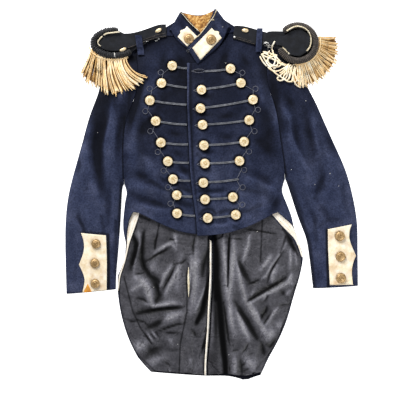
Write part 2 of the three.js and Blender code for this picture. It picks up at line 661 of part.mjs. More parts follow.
const liningRest = wool + seam + liningCloth + 0.1;
for (const name of ['right', 'left']) {
  const rimWidth = 0.06;
  const grid = sheetRows(liningRows[name], 13, (x, y, row, across) => {
    const rim = ramp(across, 0, rimWidth) * ramp(1 - across, 0, rimWidth);
    const belowHem = ramp(-y, 85, 130) * ramp(y, -474, -440);
    return liningRest + foldHeight(tailFolds[name], x, y) * rim * belowHem;
  });
  addSolid(`tail_lining_${name}`, clothWall(grid, liningCloth), 'lining');
}

// Collar: one band round the neck. Rows run from the right end, round the back, to the left end.
// turn is the way its outside faces: 0 down, on the table, and 180 up, as a flap. half is half of
// the height between the two.

const collarWall = 2.4;
const collarBand = [
  { lowX: -40.3, lowY: 357.5, topX: -11.7, topY: 396.5, turn: 180, half: 6 },
  { lowX: -62.4, lowY: 378.3, topX: -30.7, topY: 419.9, turn: 180, half: 6 },
  { lowX: -91, lowY: 397.8, topX: -58.5, topY: 451.1, turn: 180, half: 6 },
  { lowX: -104.5, lowY: 425.1, topX: -76.4, topY: 473, turn: 180, half: 6 },
  { lowX: -104.5, lowY: 425.1, topX: -76.4, topY: 473, turn: 135, half: 6 },
  { lowX: -104.5, lowY: 425.1, topX: -76.4, topY: 473, turn: 90, half: 6 },
  { lowX: -104.5, lowY: 425.1, topX: -76.4, topY: 473, turn: 45, half: 6 },
  { lowX: -104.5, lowY: 425.1, topX: -76.4, topY: 473, turn: 0, half: 6 },
  { lowX: -81.9, lowY: 396.5, topX: -62, topY: 469.5, turn: 0, half: 6 },
  { lowX: -29.9, lowY: 383.5, topX: -30.7, topY: 463.6, turn: 0, half: 6 },
  { lowX: 19.5, lowY: 399.1, topX: -6, topY: 472, turn: 0, half: 7.5 },
  { lowX: 42.4, lowY: 431.5, topX: 7.1, topY: 479.5, turn: 0, half: 7.5 },
  { lowX: 42.4, lowY: 431.5, topX: 7.1, topY: 479.5, turn: 45, half: 7.5 },
  { lowX: 42.4, lowY: 431.5, topX: 7.1, topY: 479.5, turn: 90, half: 7.5 },
  { lowX: 42.4, lowY: 431.5, topX: 7.1, topY: 479.5, turn: 135, half: 7.5 },
  { lowX: 42.4, lowY: 431.5, topX: 7.1, topY: 479.5, turn: 180, half: 7.5 },
  { lowX: 28.6, lowY: 390, topX: -4.9, topY: 447.5, turn: 180, half: 7.5 },
  { lowX: -6.5, lowY: 361.4, topX: -30.7, topY: 413.1, turn: 180, half: 7.5 },
  { lowX: -36.4, lowY: 336.7, topX: -63.2, topY: 378.6, turn: 180, half: 7.5 },
];

function collarFace(inset) {
  const middle = (collarBand.length - 1) / 2;
  return collarBand.map((row, i) => {
    const angle = THREE.MathUtils.degToRad(row.turn);
    const radius = row.half - inset;
    const sideways = Math.sin(angle) * radius * (i < middle ? -1 : 1);
    const z = row.half - Math.cos(angle) * radius;
    return [0, 0.5, 1].map((part) => spot(
      mix(row.lowX, row.topX, part) + sideways, mix(row.lowY, row.topY, part), z));
  });
}
addSolid('collar', wallBetween(collarFace(0), collarFace(collarWall)), 'navy');

const collarLiningRows = collarBand.slice(7, 12).map((row, i) => {
  const inward = [3, 1, 0, -1, -3][i];
  return {
    outX: mix(row.lowX, row.topX, 0.04) + inward, outY: mix(row.lowY, row.topY, 0.04),
    inX: mix(row.lowX, row.topX, 0.975) + inward, inY: mix(row.lowY, row.topY, 0.975),
  };
});
const collarLiningTop = collarWall + seam + liningCloth;
const collarLiningGrid = sheetRows(collarLiningRows, 2, () => collarLiningTop);
addSolid('collar_lining', clothWall(collarLiningGrid, liningCloth), 'tan');

const flapTop = { right: 12, left: 15 };
const patchOutlines = {
  right: [
    { x: -63.2, y: 435.8 }, { x: -74.1, y: 425.9 }, { x: -81.4, y: 420.4 },
    { x: -87.4, y: 406.6 }, { x: -62.1, y: 385 }, { x: -38, y: 412.2 },
  ],
  left: [
    { x: 0.5, y: 431.3 }, { x: 8.1, y: 425.1 }, { x: 17.7, y: 419.4 },
    { x: 26.3, y: 404.3 }, { x: -28.6, y: 349.7 }, { x: -49.7, y: 376.2 },
  ],
};
for (const name of ['right', 'left']) {
  const plate = flatPlate(patchOutlines[name], flapTop[name] + seam, facingCloth);
  addSolid(`collar_patch_${name}`, plate, 'cream');
}

// Epaulettes

const boardDepth = 3;
const boards = {
  right: {
    rows: [
      { outX: -118, outY: 441, inX: -116.5, inY: 409 },
      { outX: -137, outY: 441, inX: -138, inY: 406 },
      { outX: -160, outY: 431, inX: -166, inY: 397 },
      { outX: -188, outY: 421, inX: -196, inY: 386 },
      { outX: -212, outY: 415, inX: -214, inY: 378 },
      { outX: -238, outY: 416, inX: -238, inY: 370 },
      { outX: -262, outY: 413.5, inX: -264, inY: 370 },
      { outX: -284, outY: 405, inX: -286, inY: 378 },
      { outX: -293, outY: 394.5, inX: -293, inY: 388 },
    ],
    crescent: { x: -250.5, y: 391.5, width: 55, height: 33, from: 84, to: 308 },
  },
  left: {
    rows: [
      { outX: 60, outY: 437, inX: 55, inY: 404 },
      { outX: 84, outY: 437, inX: 76, inY: 399 },
      { outX: 116, outY: 427, inX: 112, inY: 388 },
      { outX: 146, outY: 418, inX: 146, inY: 386.5 },
      { outX: 172, outY: 412, inX: 172, inY: 387 },
      { outX: 187, outY: 408, inX: 187, inY: 382 },
      { outX: 202, outY: 421, inX: 202, inY: 361 },
      { outX: 228, outY: 427, inX: 228, inY: 356 },
      { outX: 252, outY: 412, inX: 252, inY: 372 },
      { outX: 260, outY: 396, inX: 260, inY: 386 },
    ],
    crescent: { x: 222, y: 391, width: 47, height: 46, from: 137, to: -160 },
  },
};
const crescentRadius = 8;
const boardGrids = {};

function crescentPath(arc, height) {
  const steps = 14;
  const points = [];
  for (let i = 0; i <= steps; i++) {
    const angle = THREE.MathUtils.degToRad(mix(arc.from, arc.to, i / steps));
    points.push(spot(arc.x + arc.width * Math.cos(angle), arc.y + arc.height * Math.sin(angle), height));
  }
  return new THREE.CatmullRomCurve3(points);
}

const crescentHeights = {};
for (const name of ['right', 'left']) {
  const under = [frontGrids[name], sleeveGrids[name]];
  const flat = sheetRows(boards[name].rows, 4, (x) => 14 + 10 * ramp(Math.abs(x), 110, 230));
  boardGrids[name] = seated(flat, boardDepth, under);
  addSolid(`epaulette_board_${name}`, clothWall(boardGrids[name], boardDepth), 'black');

  // A round roll beside the pad, on the head of the sleeve: its centre's height
  const arc = boards[name].crescent;
  let centre = 0;
  for (const point of crescentPath(arc, 0).getPoints(60)) {
    for (let part = -1; part <= 1; part += 0.125) {
      const away = part * crescentRadius;
      const x = point.x + ((point.x - arc.x) / arc.width) * away;
      const y = point.y + ((point.y - arc.y) / arc.height) * away;
      const drop = Math.sqrt(crescentRadius ** 2 - away ** 2);
      centre = Math.max(centre, restHeight(under, x, y) + drop);
    }
  }
  crescentHeights[name] = centre + seam + 0.1;
  const ring = new THREE.Shape();
  ring.absarc(0, 0, crescentRadius, 0, 2 * Math.PI);
  const roll = new THREE.ExtrudeGeometry(ring, {
    extrudePath: crescentPath(arc, crescentHeights[name]),
    steps: 16, curveSegments: 5, bevelEnabled: false,
  });
  addSolid(`epaulette_crescent_${name}`, roll, 'black');
}

// Fringe: from the crescent's lower edge to the free ends of its cords, row by row round it
const fringeDepth = 5;
const fringes = {
  right: [
    { outX: -342, outY: 313, inX: -316, inY: 376 },
    { outX: -321, outY: 290, inX: -306, inY: 362 },
    { outX: -298, outY: 282, inX: -294, inY: 353 },
    { outX: -274, outY: 262, inX: -280, inY: 347.5 },
    { outX: -251, outY: 260, inX: -265, inY: 345.5 },
    { outX: -220, outY: 266, inX: -249, inY: 345.5 },
    { outX: -199, outY: 274, inX: -234, inY: 347.5 },
    { outX: -178, outY: 282, inX: -219, inY: 351.5 },
    { outX: -163, outY: 301.5, inX: -207, inY: 358 },
  ],
  left: [
    { outX: 323, outY: 408, inX: 279, inY: 408 },
    { outX: 330, outY: 376, inX: 281, inY: 391 },
    { outX: 324, outY: 342, inX: 278, inY: 373 },
    { outX: 305, outY: 316, inX: 268, inY: 356 },
    { outX: 287, outY: 298, inX: 255, inY: 344 },
    { outX: 259, outY: 281, inX: 239, inY: 336 },
    { outX: 220, outY: 276, inX: 222, inY: 333 },
    { outX: 196, outY: 292, inX: 205, inY: 335.5 },
    { outX: 178, outY: 295, inX: 191, inY: 342 },
    { outX: 157, outY: 318, inX: 178, inY: 351 },
    { outX: 133, outY: 345, inX: 169, inY: 362 },
    { outX: 133, outY: 367, inX: 164, inY: 373 },
  ],
};
for (const name of ['right', 'left']) {
  const under = [frontGrids[name], sleeveGrids[name]];
  const start = crescentHeights[name];
  const drape = (x, y, row, across) => {
    const hanging = mix(fringeDepth + 1, start, across ** 0.8);
    return Math.max(restHeight(under, x, y, 9) + fringeDepth + 1.2, hanging);
  };
  const grid = seated(sheetRows(fringes[name], 6, drape), fringeDepth, under);
  addSolid(`epaulette_fringe_${name}`, clothWall(grid, fringeDepth), 'fringe');
}

// Loops that hold the straps down on the shoulder
const loopRows = {
  right: { fromX: -189, fromY: 411, toX: -182, toY: 361, width: 17 },
  left: { fromX: 125, fromY: 430, toX: 121, toY: 368, width: 15 },
};
for (const [name, loop] of Object.entries(loopRows)) {
  const under = [boardGrids[name], frontGrids[name], sleeveGrids[name]];
  const rows = [0, 0.2, 0.4, 0.6, 0.8, 1].map((part) => {
    const x = mix(loop.fromX, loop.toX, part);
    const y = mix(loop.fromY, loop.toY, part);
    return { outX: x - loop.width / 2, outY: y, inX: x + loop.width / 2, inY: y };
  });
  const grid = sheetRows(rows, 3, (x, y) => restHeight(under, x, y, 12) + liningCloth);
  const laid = seated(grid, liningCloth, under, 0.7);
  addSolid(`epaulette_loop_${name}`, clothWall(laid, liningCloth), 'navy');
}

// Buttons, from the neck down. A row without a button has none.

const buttonSpots = {
  right: [
    { row: 1, x: -101.7, y: 333.1 }, { row: 2, x: -129.2, y: 287.3 },
    { row: 3, x: -158.9, y: 242.3 }, { row: 4, x: -144, y: 189 },
    { row: 5, x: -130.5, y: 133.4 }, { row: 6, x: -112.6, y: 85.3 },
    { row: 7, x: -99.3, y: 39.3 }, { row: 8, x: -89.7, y: -1.8 }, { row: 9, x: -88.9, y: -48.9 },
  ],
  middle: [
    { row: 2, x: -26, y: 269.6 }, { row: 3, x: -28.6, y: 221.5 },
    { row: 4, x: -23.1, y: 179.1 }, { row: 5, x: -20, y: 126.1 }, { row: 6, x: -17.2, y: 79.3 },
    { row: 7, x: -21.1, y: 29.9 }, { row: 8, x: -16.9, y: -13 }, { row: 9, x: -10.1, y: -60.8 },
  ],
  left: [
    { row: 1, x: 48.9, y: 325 }, { row: 2, x: 75.7, y: 287.6 }, { row: 3, x: 106.6, y: 244.1 },
    { row: 4, x: 96.7, y: 191.4 }, { row: 5, x: 83.7, y: 135.7 }, { row: 6, x: 71.8, y: 86.3 },
    { row: 8, x: 54.9, y: -6.8 }, { row: 9, x: 62.4, y: -52.5 },
  ],
};
const missingButton = { x: 64.2, y: 38.5 };

function buttonGeometry(width) {
  const radius = width / 2;
  const profile = [
    [0, 0], [radius, 0], [radius, 0.4 * buttonHeight],
    [0.6 * radius, 0.85 * buttonHeight], [0, buttonHeight],
  ];
  const points = profile.map(([x, y]) => new THREE.Vector2(x, y));
  const geometry = new THREE.LatheGeometry(points, 12);
  geometry.rotateX(Math.PI / 2);
  return geometry;
}

// Highest point of the surfaces under a button's flat back
function restUnderDisc(surfaces, place, width) {
  let rest = 0;
  for (let ring = 0; ring <= 6; ring++) {
    for (let i = 0; i < 24; i++) {
      const angle = (i * Math.PI) / 12;
      const x = place.x + (ring / 6) * (width / 2) * Math.cos(angle);
      const y = place.y + (ring / 6) * (width / 2) * Math.sin(angle);
      rest = Math.max(rest, restHeight(surfaces, x, y));
    }
  }
  return rest;
}

function addButton(name, place, width, surfaces, colour) {
  const geometry = buttonGeometry(width);
  const low = restUnderDisc(surfaces, place, width) + seam + 0.05;
  geometry.translate(place.x, place.y, low);
  addSolid(name, geometry, colour);
}

const cuffButtons = {
  right: [{ x: -298, y: -127.1 }, { x: -301.1, y: -176.8 }, { x: -300.3, y: -229.8 }],
  left: [{ x: 330.5, y: -107.1 }, { x: 332.8, y: -160.2 }, { x: 334.1, y: -215.8 }],
};
for (const [name, places] of Object.entries(cuffButtons)) {
  places.forEach((place, i) => {
    const label = `cuff_button_${name}_${i + 1}`;
    addButton(label, place, smallButtonWidth, [cuffGrids[name]], 'brass');
  });
}

const collarButtons = { right: { x: -58.5, y: 402.7 }, left: { x: -1, y: 400.1 } };
for (const [name, place] of Object.entries(collarButtons)) {
  const geometry = buttonGeometry(smallButtonWidth);
  geometry.translate(place.x, place.y, flapTop[name] + 2 * seam + facingCloth);
  addSolid(`collar_button_${name}`, geometry, 'brass');
}

// Braid: nine bars on each breast, and a thin cord that joins the outer buttons and makes a round
// loop on the outer side between each two

function cordStrip(line, size, surface) {
  const curve = new THREE.CatmullRomCurve3(line, false, 'centripetal');
  const steps = Math.max(3, Math.round(curve.getLength() / size.step));
  const left = [];
  const right = [];
  curve.getSpacedPoints(steps).forEach((point, i) => {
    const way = curve.getTangentAt(i / steps);
    const edges = [1, -1].map((hand) => {
      const x = point.x - (hand * way.y * size.width) / 2;
      const y = point.y + (hand * way.x * size.width) / 2;
      return spot(x, y, restHeight([surface], x, y, 3) + 0.6 + size.height);
    });
    left.push(edges[0]);
    right.push(edges[1]);
  });
  return [left, right];
}

const braidBars = {
  right: [
    { x: -66, y: 326.6 }, { x: -66.2, y: 275.9 }, { x: -67, y: 231.1 }, { x: -65.9, y: 179.7 },
    { x: -62.8, y: 128.7 }, { x: -60.8, y: 81.4 }, { x: -57.2, y: 34.8 }, { x: -52.4, y: -5.5 },
    { x: -45.1, y: -55.6 },
  ],
  left: [
    { x: -40, y: 318 }, { x: -24, y: 270 }, { x: -27, y: 222 }, { x: -21, y: 179 },
    { x: -18, y: 126 }, { x: -15.5, y: 79.5 }, { x: -19, y: 30.5 }, { x: -15, y: -12.6 },
    { x: -8, y: -60.5 },
  ],
};
const sideLoops = {
  right: [
    { x: -131.3, y: 315.4 }, { x: -159.6, y: 272.7 }, { x: -170.8, y: 214.5 },
    { x: -157.8, y: 163 }, { x: -138.6, y: 109.5 }, { x: -123.5, y: 61.6 },
    { x: -112.3, y: 18.5 }, { x: -106.1, y: -23.7 },
  ],
  left: [
    { x: 79.8, y: 314.6 }, { x: 113.1, y: 272.5 }, { x: 119.3, y: 218.4 }, { x: 110.5, y: 163 },
    { x: 96.5, y: 110.5 }, { x: 84, y: 63.4 }, { x: 80.3, y: 18.5 }, { x: 79.6, y: -26.3 },
  ],
};

const braidGrids = {};
for (const [name, side] of Object.entries(sides)) {
  const outerEnds = buttonSpots[name].map((place) => spot(place.x, place.y));
  if (name === 'left') outerEnds.splice(6, 0, spot(missingButton.x, missingButton.y));
  const surface = frontGrids[name];
  const strips = braidBars[name].map((bar, i) => {
    const middle = spot(mix(bar.x, outerEnds[i].x, 0.5), mix(bar.y, outerEnds[i].y, 0.5) - 1.5);
    return cordStrip([spot(bar.x, bar.y), middle, outerEnds[i]], braid, surface);
  });
  sideLoops[name].forEach((loop, i) => {
    const out = 7 * side.outward;
    const line = [
      outerEnds[i],
      spot(loop.x - out, loop.y + 9), spot(loop.x + 0.3 * out, loop.y + 7),
      spot(loop.x + out, loop.y), spot(loop.x + 0.3 * out, loop.y - 7),
      spot(loop.x - out, loop.y - 9), outerEnds[i + 1],
    ];
    strips.push(cordStrip(line, cord, surface));
  });
  const walls = strips.map((strip) => clothWall(strip, braid.height));
  addSolid(`braid_${name}`, joined(walls), 'braid');
  braidGrids[name] = strips;
}

// The front buttons sit on the braid, in the order of the columns
const buttonGround = {
  right: [frontGrids.right, ...braidGrids.right],
  middle: [frontGrids.left, ...braidGrids.left],
  left: [frontGrids.left, ...braidGrids.left],
};
for (const [column, places] of Object.entries(buttonSpots)) {
  for (const place of places) {
    const name = `button_${column}_${place.row}`;
    addButton(name, place, buttonWidth, buttonGround[column], 'gilt');
  }
}

export default coat;
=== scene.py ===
import math
import random

import bmesh
import bpy
import numpy as np
from mathutils import Matrix, Vector, noise
from mathutils.bvhtree import BVHTree


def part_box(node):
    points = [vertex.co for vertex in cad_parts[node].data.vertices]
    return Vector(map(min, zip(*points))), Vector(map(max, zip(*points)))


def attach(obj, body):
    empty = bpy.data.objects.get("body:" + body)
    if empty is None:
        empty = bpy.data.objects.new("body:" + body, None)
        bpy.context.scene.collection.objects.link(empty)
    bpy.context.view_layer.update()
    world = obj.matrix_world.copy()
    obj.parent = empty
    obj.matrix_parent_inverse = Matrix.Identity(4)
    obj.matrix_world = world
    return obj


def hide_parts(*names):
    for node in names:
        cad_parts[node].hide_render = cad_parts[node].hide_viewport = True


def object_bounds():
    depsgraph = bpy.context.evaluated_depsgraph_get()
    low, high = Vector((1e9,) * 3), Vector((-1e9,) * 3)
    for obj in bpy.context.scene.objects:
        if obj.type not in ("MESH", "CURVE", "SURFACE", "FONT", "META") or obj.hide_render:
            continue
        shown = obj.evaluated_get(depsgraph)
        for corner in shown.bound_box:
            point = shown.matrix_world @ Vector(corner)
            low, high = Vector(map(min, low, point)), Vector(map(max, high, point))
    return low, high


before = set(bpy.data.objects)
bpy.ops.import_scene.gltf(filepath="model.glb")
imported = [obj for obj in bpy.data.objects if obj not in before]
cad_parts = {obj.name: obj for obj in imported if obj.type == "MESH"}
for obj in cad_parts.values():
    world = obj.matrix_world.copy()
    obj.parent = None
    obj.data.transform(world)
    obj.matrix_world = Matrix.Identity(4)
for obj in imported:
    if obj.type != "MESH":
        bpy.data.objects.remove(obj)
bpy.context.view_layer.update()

mm = 0.001  # sizes and places below are in millimetres
random.seed(41)
noise.seed_set(41)  # its vector noise is otherwise seeded by the clock
scene = bpy.context.scene
scene.view_settings.view_transform = "Standard"


def toLinear(code):
    parts = [int(code[i:i + 2], 16) / 255 for i in (1, 3, 5)]
    return tuple(v / 12.92 if v <= 0.04045 else ((v + 0.055) / 1.055) ** 2.4 for v in parts) + (1.0,)


def fillSockets(tree, node, sockets):
    # a number or colour goes onto the socket itself; an output is linked to it, and a node given
    # whole stands for its first output
    for key, value in sockets.items():
        if isinstance(value, bpy.types.Node):
            value = value.outputs[0]
        if isinstance(value, bpy.types.NodeSocket):
            tree.links.new(value, node.inputs[key])
        else:
            node.inputs[key].default_value = value


def addNode(tree, kind, sockets=None, stops=None, **settings):
    node = tree.nodes.new(kind)
    for key, value in settings.items():
        setattr(node, key, value)
    fillSockets(tree, node, sockets or {})
    if stops:
        while len(node.color_ramp.elements) < len(stops):
            node.color_ramp.elements.new(0.5)
        for element, (place, code) in zip(node.color_ramp.elements, stops):
            element.position = place
            element.color = toLinear(code)
    return node


def newMaterial(name):
    material = bpy.data.materials.new(name)
    material.use_nodes = True
    tree = material.node_tree
    tree.nodes.clear()
    surface = addNode(tree, "ShaderNodeBsdfPrincipled")
    addNode(tree, "ShaderNodeOutputMaterial", {"Surface": surface.outputs[0]})
    places = addNode(tree, "ShaderNodeTexCoord").outputs["Object"]
    return material, tree, surface, places


def linked(name, data):
    piece = bpy.data.objects.new(name, data)
    scene.collection.objects.link(piece)
    return piece


def meshFrom(bm, name, turnOut=True):
    # the bmesh as a piece of its own, its faces turned outwards where they may not be
    if turnOut:
        bmesh.ops.recalc_face_normals(bm, faces=bm.faces)
    mesh = bpy.data.meshes.new(name)
    bm.to_mesh(mesh)
    bm.free()
    return linked(name, mesh)


def applied(piece):
    graph = bpy.context.evaluated_depsgraph_get()
    mesh = bpy.data.meshes.new_from_object(piece.evaluated_get(graph))
    piece.modifiers.clear()
    piece.data = mesh
    return piece


def finishPiece(piece, materials, slot, nodes=()):
    piece.data.materials.clear()
    for material in materials if isinstance(materials, list) else [materials]:
        piece.data.materials.append(material)
    for face in piece.data.polygons:
        face.use_smooth = True
    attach(piece, "root")
    if nodes:
        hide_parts(*nodes)
    return piece


def clothFromNode(node, name, levels=3, sharpAngle=0.7, cornerAngle=0.6):
    # the solid's own form, its facets rounded off and its cut edges kept; angles in radians
    bm = bmesh.new()
    bm.from_mesh(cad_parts[node].data)
    bmesh.ops.remove_doubles(bm, verts=bm.verts, dist=0.00002)
    bmesh.ops.join_triangles(bm, faces=bm.faces, angle_face_threshold=3.14,
                             angle_shape_threshold=3.14, topology_influence=1.0)
    edgeCrease = bm.edges.layers.float.new("crease_edge")
    cornerCrease = bm.verts.layers.float.new("crease_vert")
    for edge in bm.edges:
        if len(edge.link_faces) == 2 and edge.calc_face_angle(0) > sharpAngle:
            edge[edgeCrease] = 1.0
    for vert in bm.verts:
        rims = [edge for edge in vert.link_edges if edge[edgeCrease] > 0]
        if len(rims) >= 3:
            vert[cornerCrease] = 1.0
        elif len(rims) == 2:
            ways = [(edge.other_vert(vert).co - vert.co) for edge in rims]
            if math.pi - ways[0].angle(ways[1]) > cornerAngle:
                vert[cornerCrease] = 1.0
    piece = meshFrom(bm, name, turnOut=False)
    finer = piece.modifiers.new("finer", "SUBSURF")
    finer.levels = finer.render_levels = levels
    return applied(piece)


def spotsOf(piece):
    spots = np.empty(len(piece.data.vertices) * 3)
    piece.data.vertices.foreach_get("co", spots)
    return spots.reshape(-1, 3) / mm


def setSpots(piece, spots):
    piece.data.vertices.foreach_set("co", (spots * mm).ravel())
    piece.data.update()


def facingUp(piece):
    # which points are on the upper wall, its steepest sides left out
    ways = np.empty(len(piece.data.vertices) * 3)
    piece.data.vertices.foreach_get("normal", ways)
    return ways.reshape(-1, 3)[:, 2] > 0.2


def setNumbers(piece, name, numbers):
    store = piece.data.attributes.new(name, "FLOAT", "POINT")
    store.data.foreach_set("value", np.ascontiguousarray(numbers, dtype=np.float32))


def ramp(values, low, high):
    # 0 up to low, 1 from high on, a soft rise between
    part = np.clip((values - low) / (high - low), 0, 1)
    return part * part * (3 - 2 * part)


def awayFromLine(spots, line):
    # distance to a run of straight lines, and how far along it each spot lies, from 0 to 1
    points = np.array(line, dtype=float)
    steps = np.linalg.norm(np.diff(points, axis=0), axis=1)
    reached = np.concatenate([[0], np.cumsum(steps)])
    away = np.full(len(spots), 1e9)
    along = np.zeros(len(spots))
    for start, end, step, before in zip(points[:-1], points[1:], steps, reached):
        way = (end - start) / step
        part = np.clip((spots[:, :2] - start) @ way, 0, step)
        gap = np.linalg.norm(spots[:, :2] - start - part[:, None] * way, axis=1)
        nearer = gap < away
        away[nearer] = gap[nearer]
        along[nearer] = (before + part[nearer]) / reached[-1]
    return away, along


def foldLift(folds, spots, crisp=2.0):
    # each fold is its half width, its lift and its line; it dies away to 0.3 at its ends
    total = np.zeros(len(spots))
    for width, lift, line in folds:
        away, along = awayFromLine(spots, line)
        level = 0.3 + 0.7 * np.sin(np.pi * np.clip(along, 0.02, 0.98))
        total += lift * level * np.exp(-(away / width) ** crisp)
    return total


def unevenness(spots, size, seed, warp=0.0):
    # soft lumps of about that size, from -1 to 1
    lumps = np.empty(len(spots))
    for i, (x, y, z) in enumerate(spots):
        place = Vector((x / size, y / size, seed))
        if warp:
            place += warp * noise.noise_vector(place * 0.6)
        lumps[i] = noise.noise(place)
    return lumps


def creaseNet(spots, size, seed):
    # sharp little ridges like those of crushed cotton, from 0 to 1
    ridges = np.empty(len(spots))
    for i, (x, y, z) in enumerate(spots):
        place = Vector((x / size, 0.8 * y / size, seed))
        place += 0.7 * noise.noise_vector(place * 0.7)
        ridges[i] = 1 - min(1, 2.2 * abs(noise.noise(place)))
    return ridges


def gloomOver(spots, glooms, edge):
    # each gloom is its half width, its depth and its line; a higher edge ends it more sharply. The
    # pieces' glooms are painted shade; the lining's dark seams are drawn with it too
    dark = np.zeros(len(spots))
    for width, depth, line in glooms:
        dark = np.maximum(dark, depth * np.exp(-(awayFromLine(spots, line)[0] / width) ** edge))
    return dark


def piecesOf(*groups):
    return [part["piece"] for group in groups for part in group.values()]


# what things rest on: the highest surface under a spot
class Ground:
    def __init__(self, pieces):
        self.trees = []
        for piece in pieces:
            bm = bmesh.new()
            bm.from_mesh(piece.data)
            self.trees.append(BVHTree.FromBMesh(bm))
            bm.free()

    def height(self, x, y, bare=0.0):
        best = bare
        for tree in self.trees:
            hit = tree.ray_cast(Vector((x * mm, y * mm, 0.2)), Vector((0, 0, -1)))[0]
            if hit:
                best = max(best, hit.z / mm)
        return best

    def under(self, x, y, reach, bare=0.0):
        # the highest spot within reach, so that a thing laid there stands on it
        angles = [k * math.pi / 4 for k in range(8)]
        spots = [(0, 0)] + [(reach * math.cos(angle), reach * math.sin(angle)) for angle in angles]
        return max(self.height(x + dx, y + dy, bare) for dx, dy in spots)


profiles = []


def cordProfile(name, radius, plies, depth, sides):
    # section of a cord of so many plies, turned along the cord by its tilt
    curve = bpy.data.curves.new(name, "CURVE")
    curve.dimensions = "3D"
    line = curve.splines.new("POLY")
    line.points.add(sides - 1)
    line.use_cyclic_u = True
    for i, point in enumerate(line.points):
        angle = 2 * math.pi * i / sides
        reach = radius * mm * (1 - depth * (0.5 - 0.5 * math.cos(plies * angle)))
        point.co = (reach * math.cos(angle), reach * math.sin(angle), 0, 1)
    profiles.append(linked(name, curve))
    return profiles[-1]


def resampled(points, step):
    # even steps along a smooth line through a few points
    points = [Vector(p) for p in points]
    dense = []
    for i in range(len(points) - 1):
        before = points[max(i - 1, 0)]
        after = points[min(i + 2, len(points) - 1)]
        start, end = points[i], points[i + 1]
        count = max(3, int((end - start).length / step * 2))
        for k in range(count):
            t = k / count
            dense.append(0.5 * ((2 * start) + (end - before) * t
                                + (2 * before - 5 * start + 4 * end - after) * t * t
                                + (3 * start - before - 3 * end + after) * t ** 3))
    dense.append(points[-1])
    lengths = [0.0]
    for a, b in zip(dense, dense[1:]):
        lengths.append(lengths[-1] + (b - a).length)
    count = max(2, round(lengths[-1] / step))
    result = []
    k = 0
    for i in range(count + 1):
        goal = lengths[-1] * i / count
        while k < len(lengths) - 2 and lengths[k + 1] < goal:
            k += 1
        part = (goal - lengths[k]) / max(lengths[k + 1] - lengths[k], 1e-9)
        result.append(dense[k].lerp(dense[k + 1], min(1, max(0, part))))
    return result


def evenCords(lines):
    # cords of one colour, each of one thickness
    return [(line, 0, None) for line in lines]


def cordsMesh(name, lines, profile, pitch):
    # each line is its points, its tone, and a thickness for each point; pitch is one turn of its plies
    curve = bpy.data.curves.new(name, "CURVE")
    curve.dimensions = "3D"
    curve.bevel_mode = "OBJECT"
    curve.bevel_object = profile
    curve.use_fill_caps = True
    curve.twist_mode = "MINIMUM"
    for k in range(1 + max(tone for points, tone, sizes in lines)):
        curve.materials.append(None)
    for points, tone, sizes in lines:
        line = curve.splines.new("POLY")
        line.points.add(len(points) - 1)
        line.material_index = tone
        turned = random.uniform(0, 6.28)
        for i, point in enumerate(points):
            if i:
                turned += 2 * math.pi * (Vector(point) - Vector(points[i - 1])).length / pitch
            line.points[i].co = (*(Vector(point) * mm), 1)
            line.points[i].tilt = turned
            line.points[i].radius = sizes[i] if sizes else 1.0
    strung = linked(name + "_line", curve)
    graph = bpy.context.evaluated_depsgraph_get()
    graph.update()
    mesh = bpy.data.meshes.new_from_object(strung.evaluated_get(graph))
    mesh.name = name
    bpy.data.objects.remove(strung)
    bm = bmesh.new()
    bm.from_mesh(mesh)
    bmesh.ops.remove_doubles(bm, verts=bm.verts, dist=0.000005)
    bmesh.ops.recalc_face_normals(bm, faces=bm.faces)
    bm.to_mesh(mesh)
    bm.free()
    return linked(name, mesh)


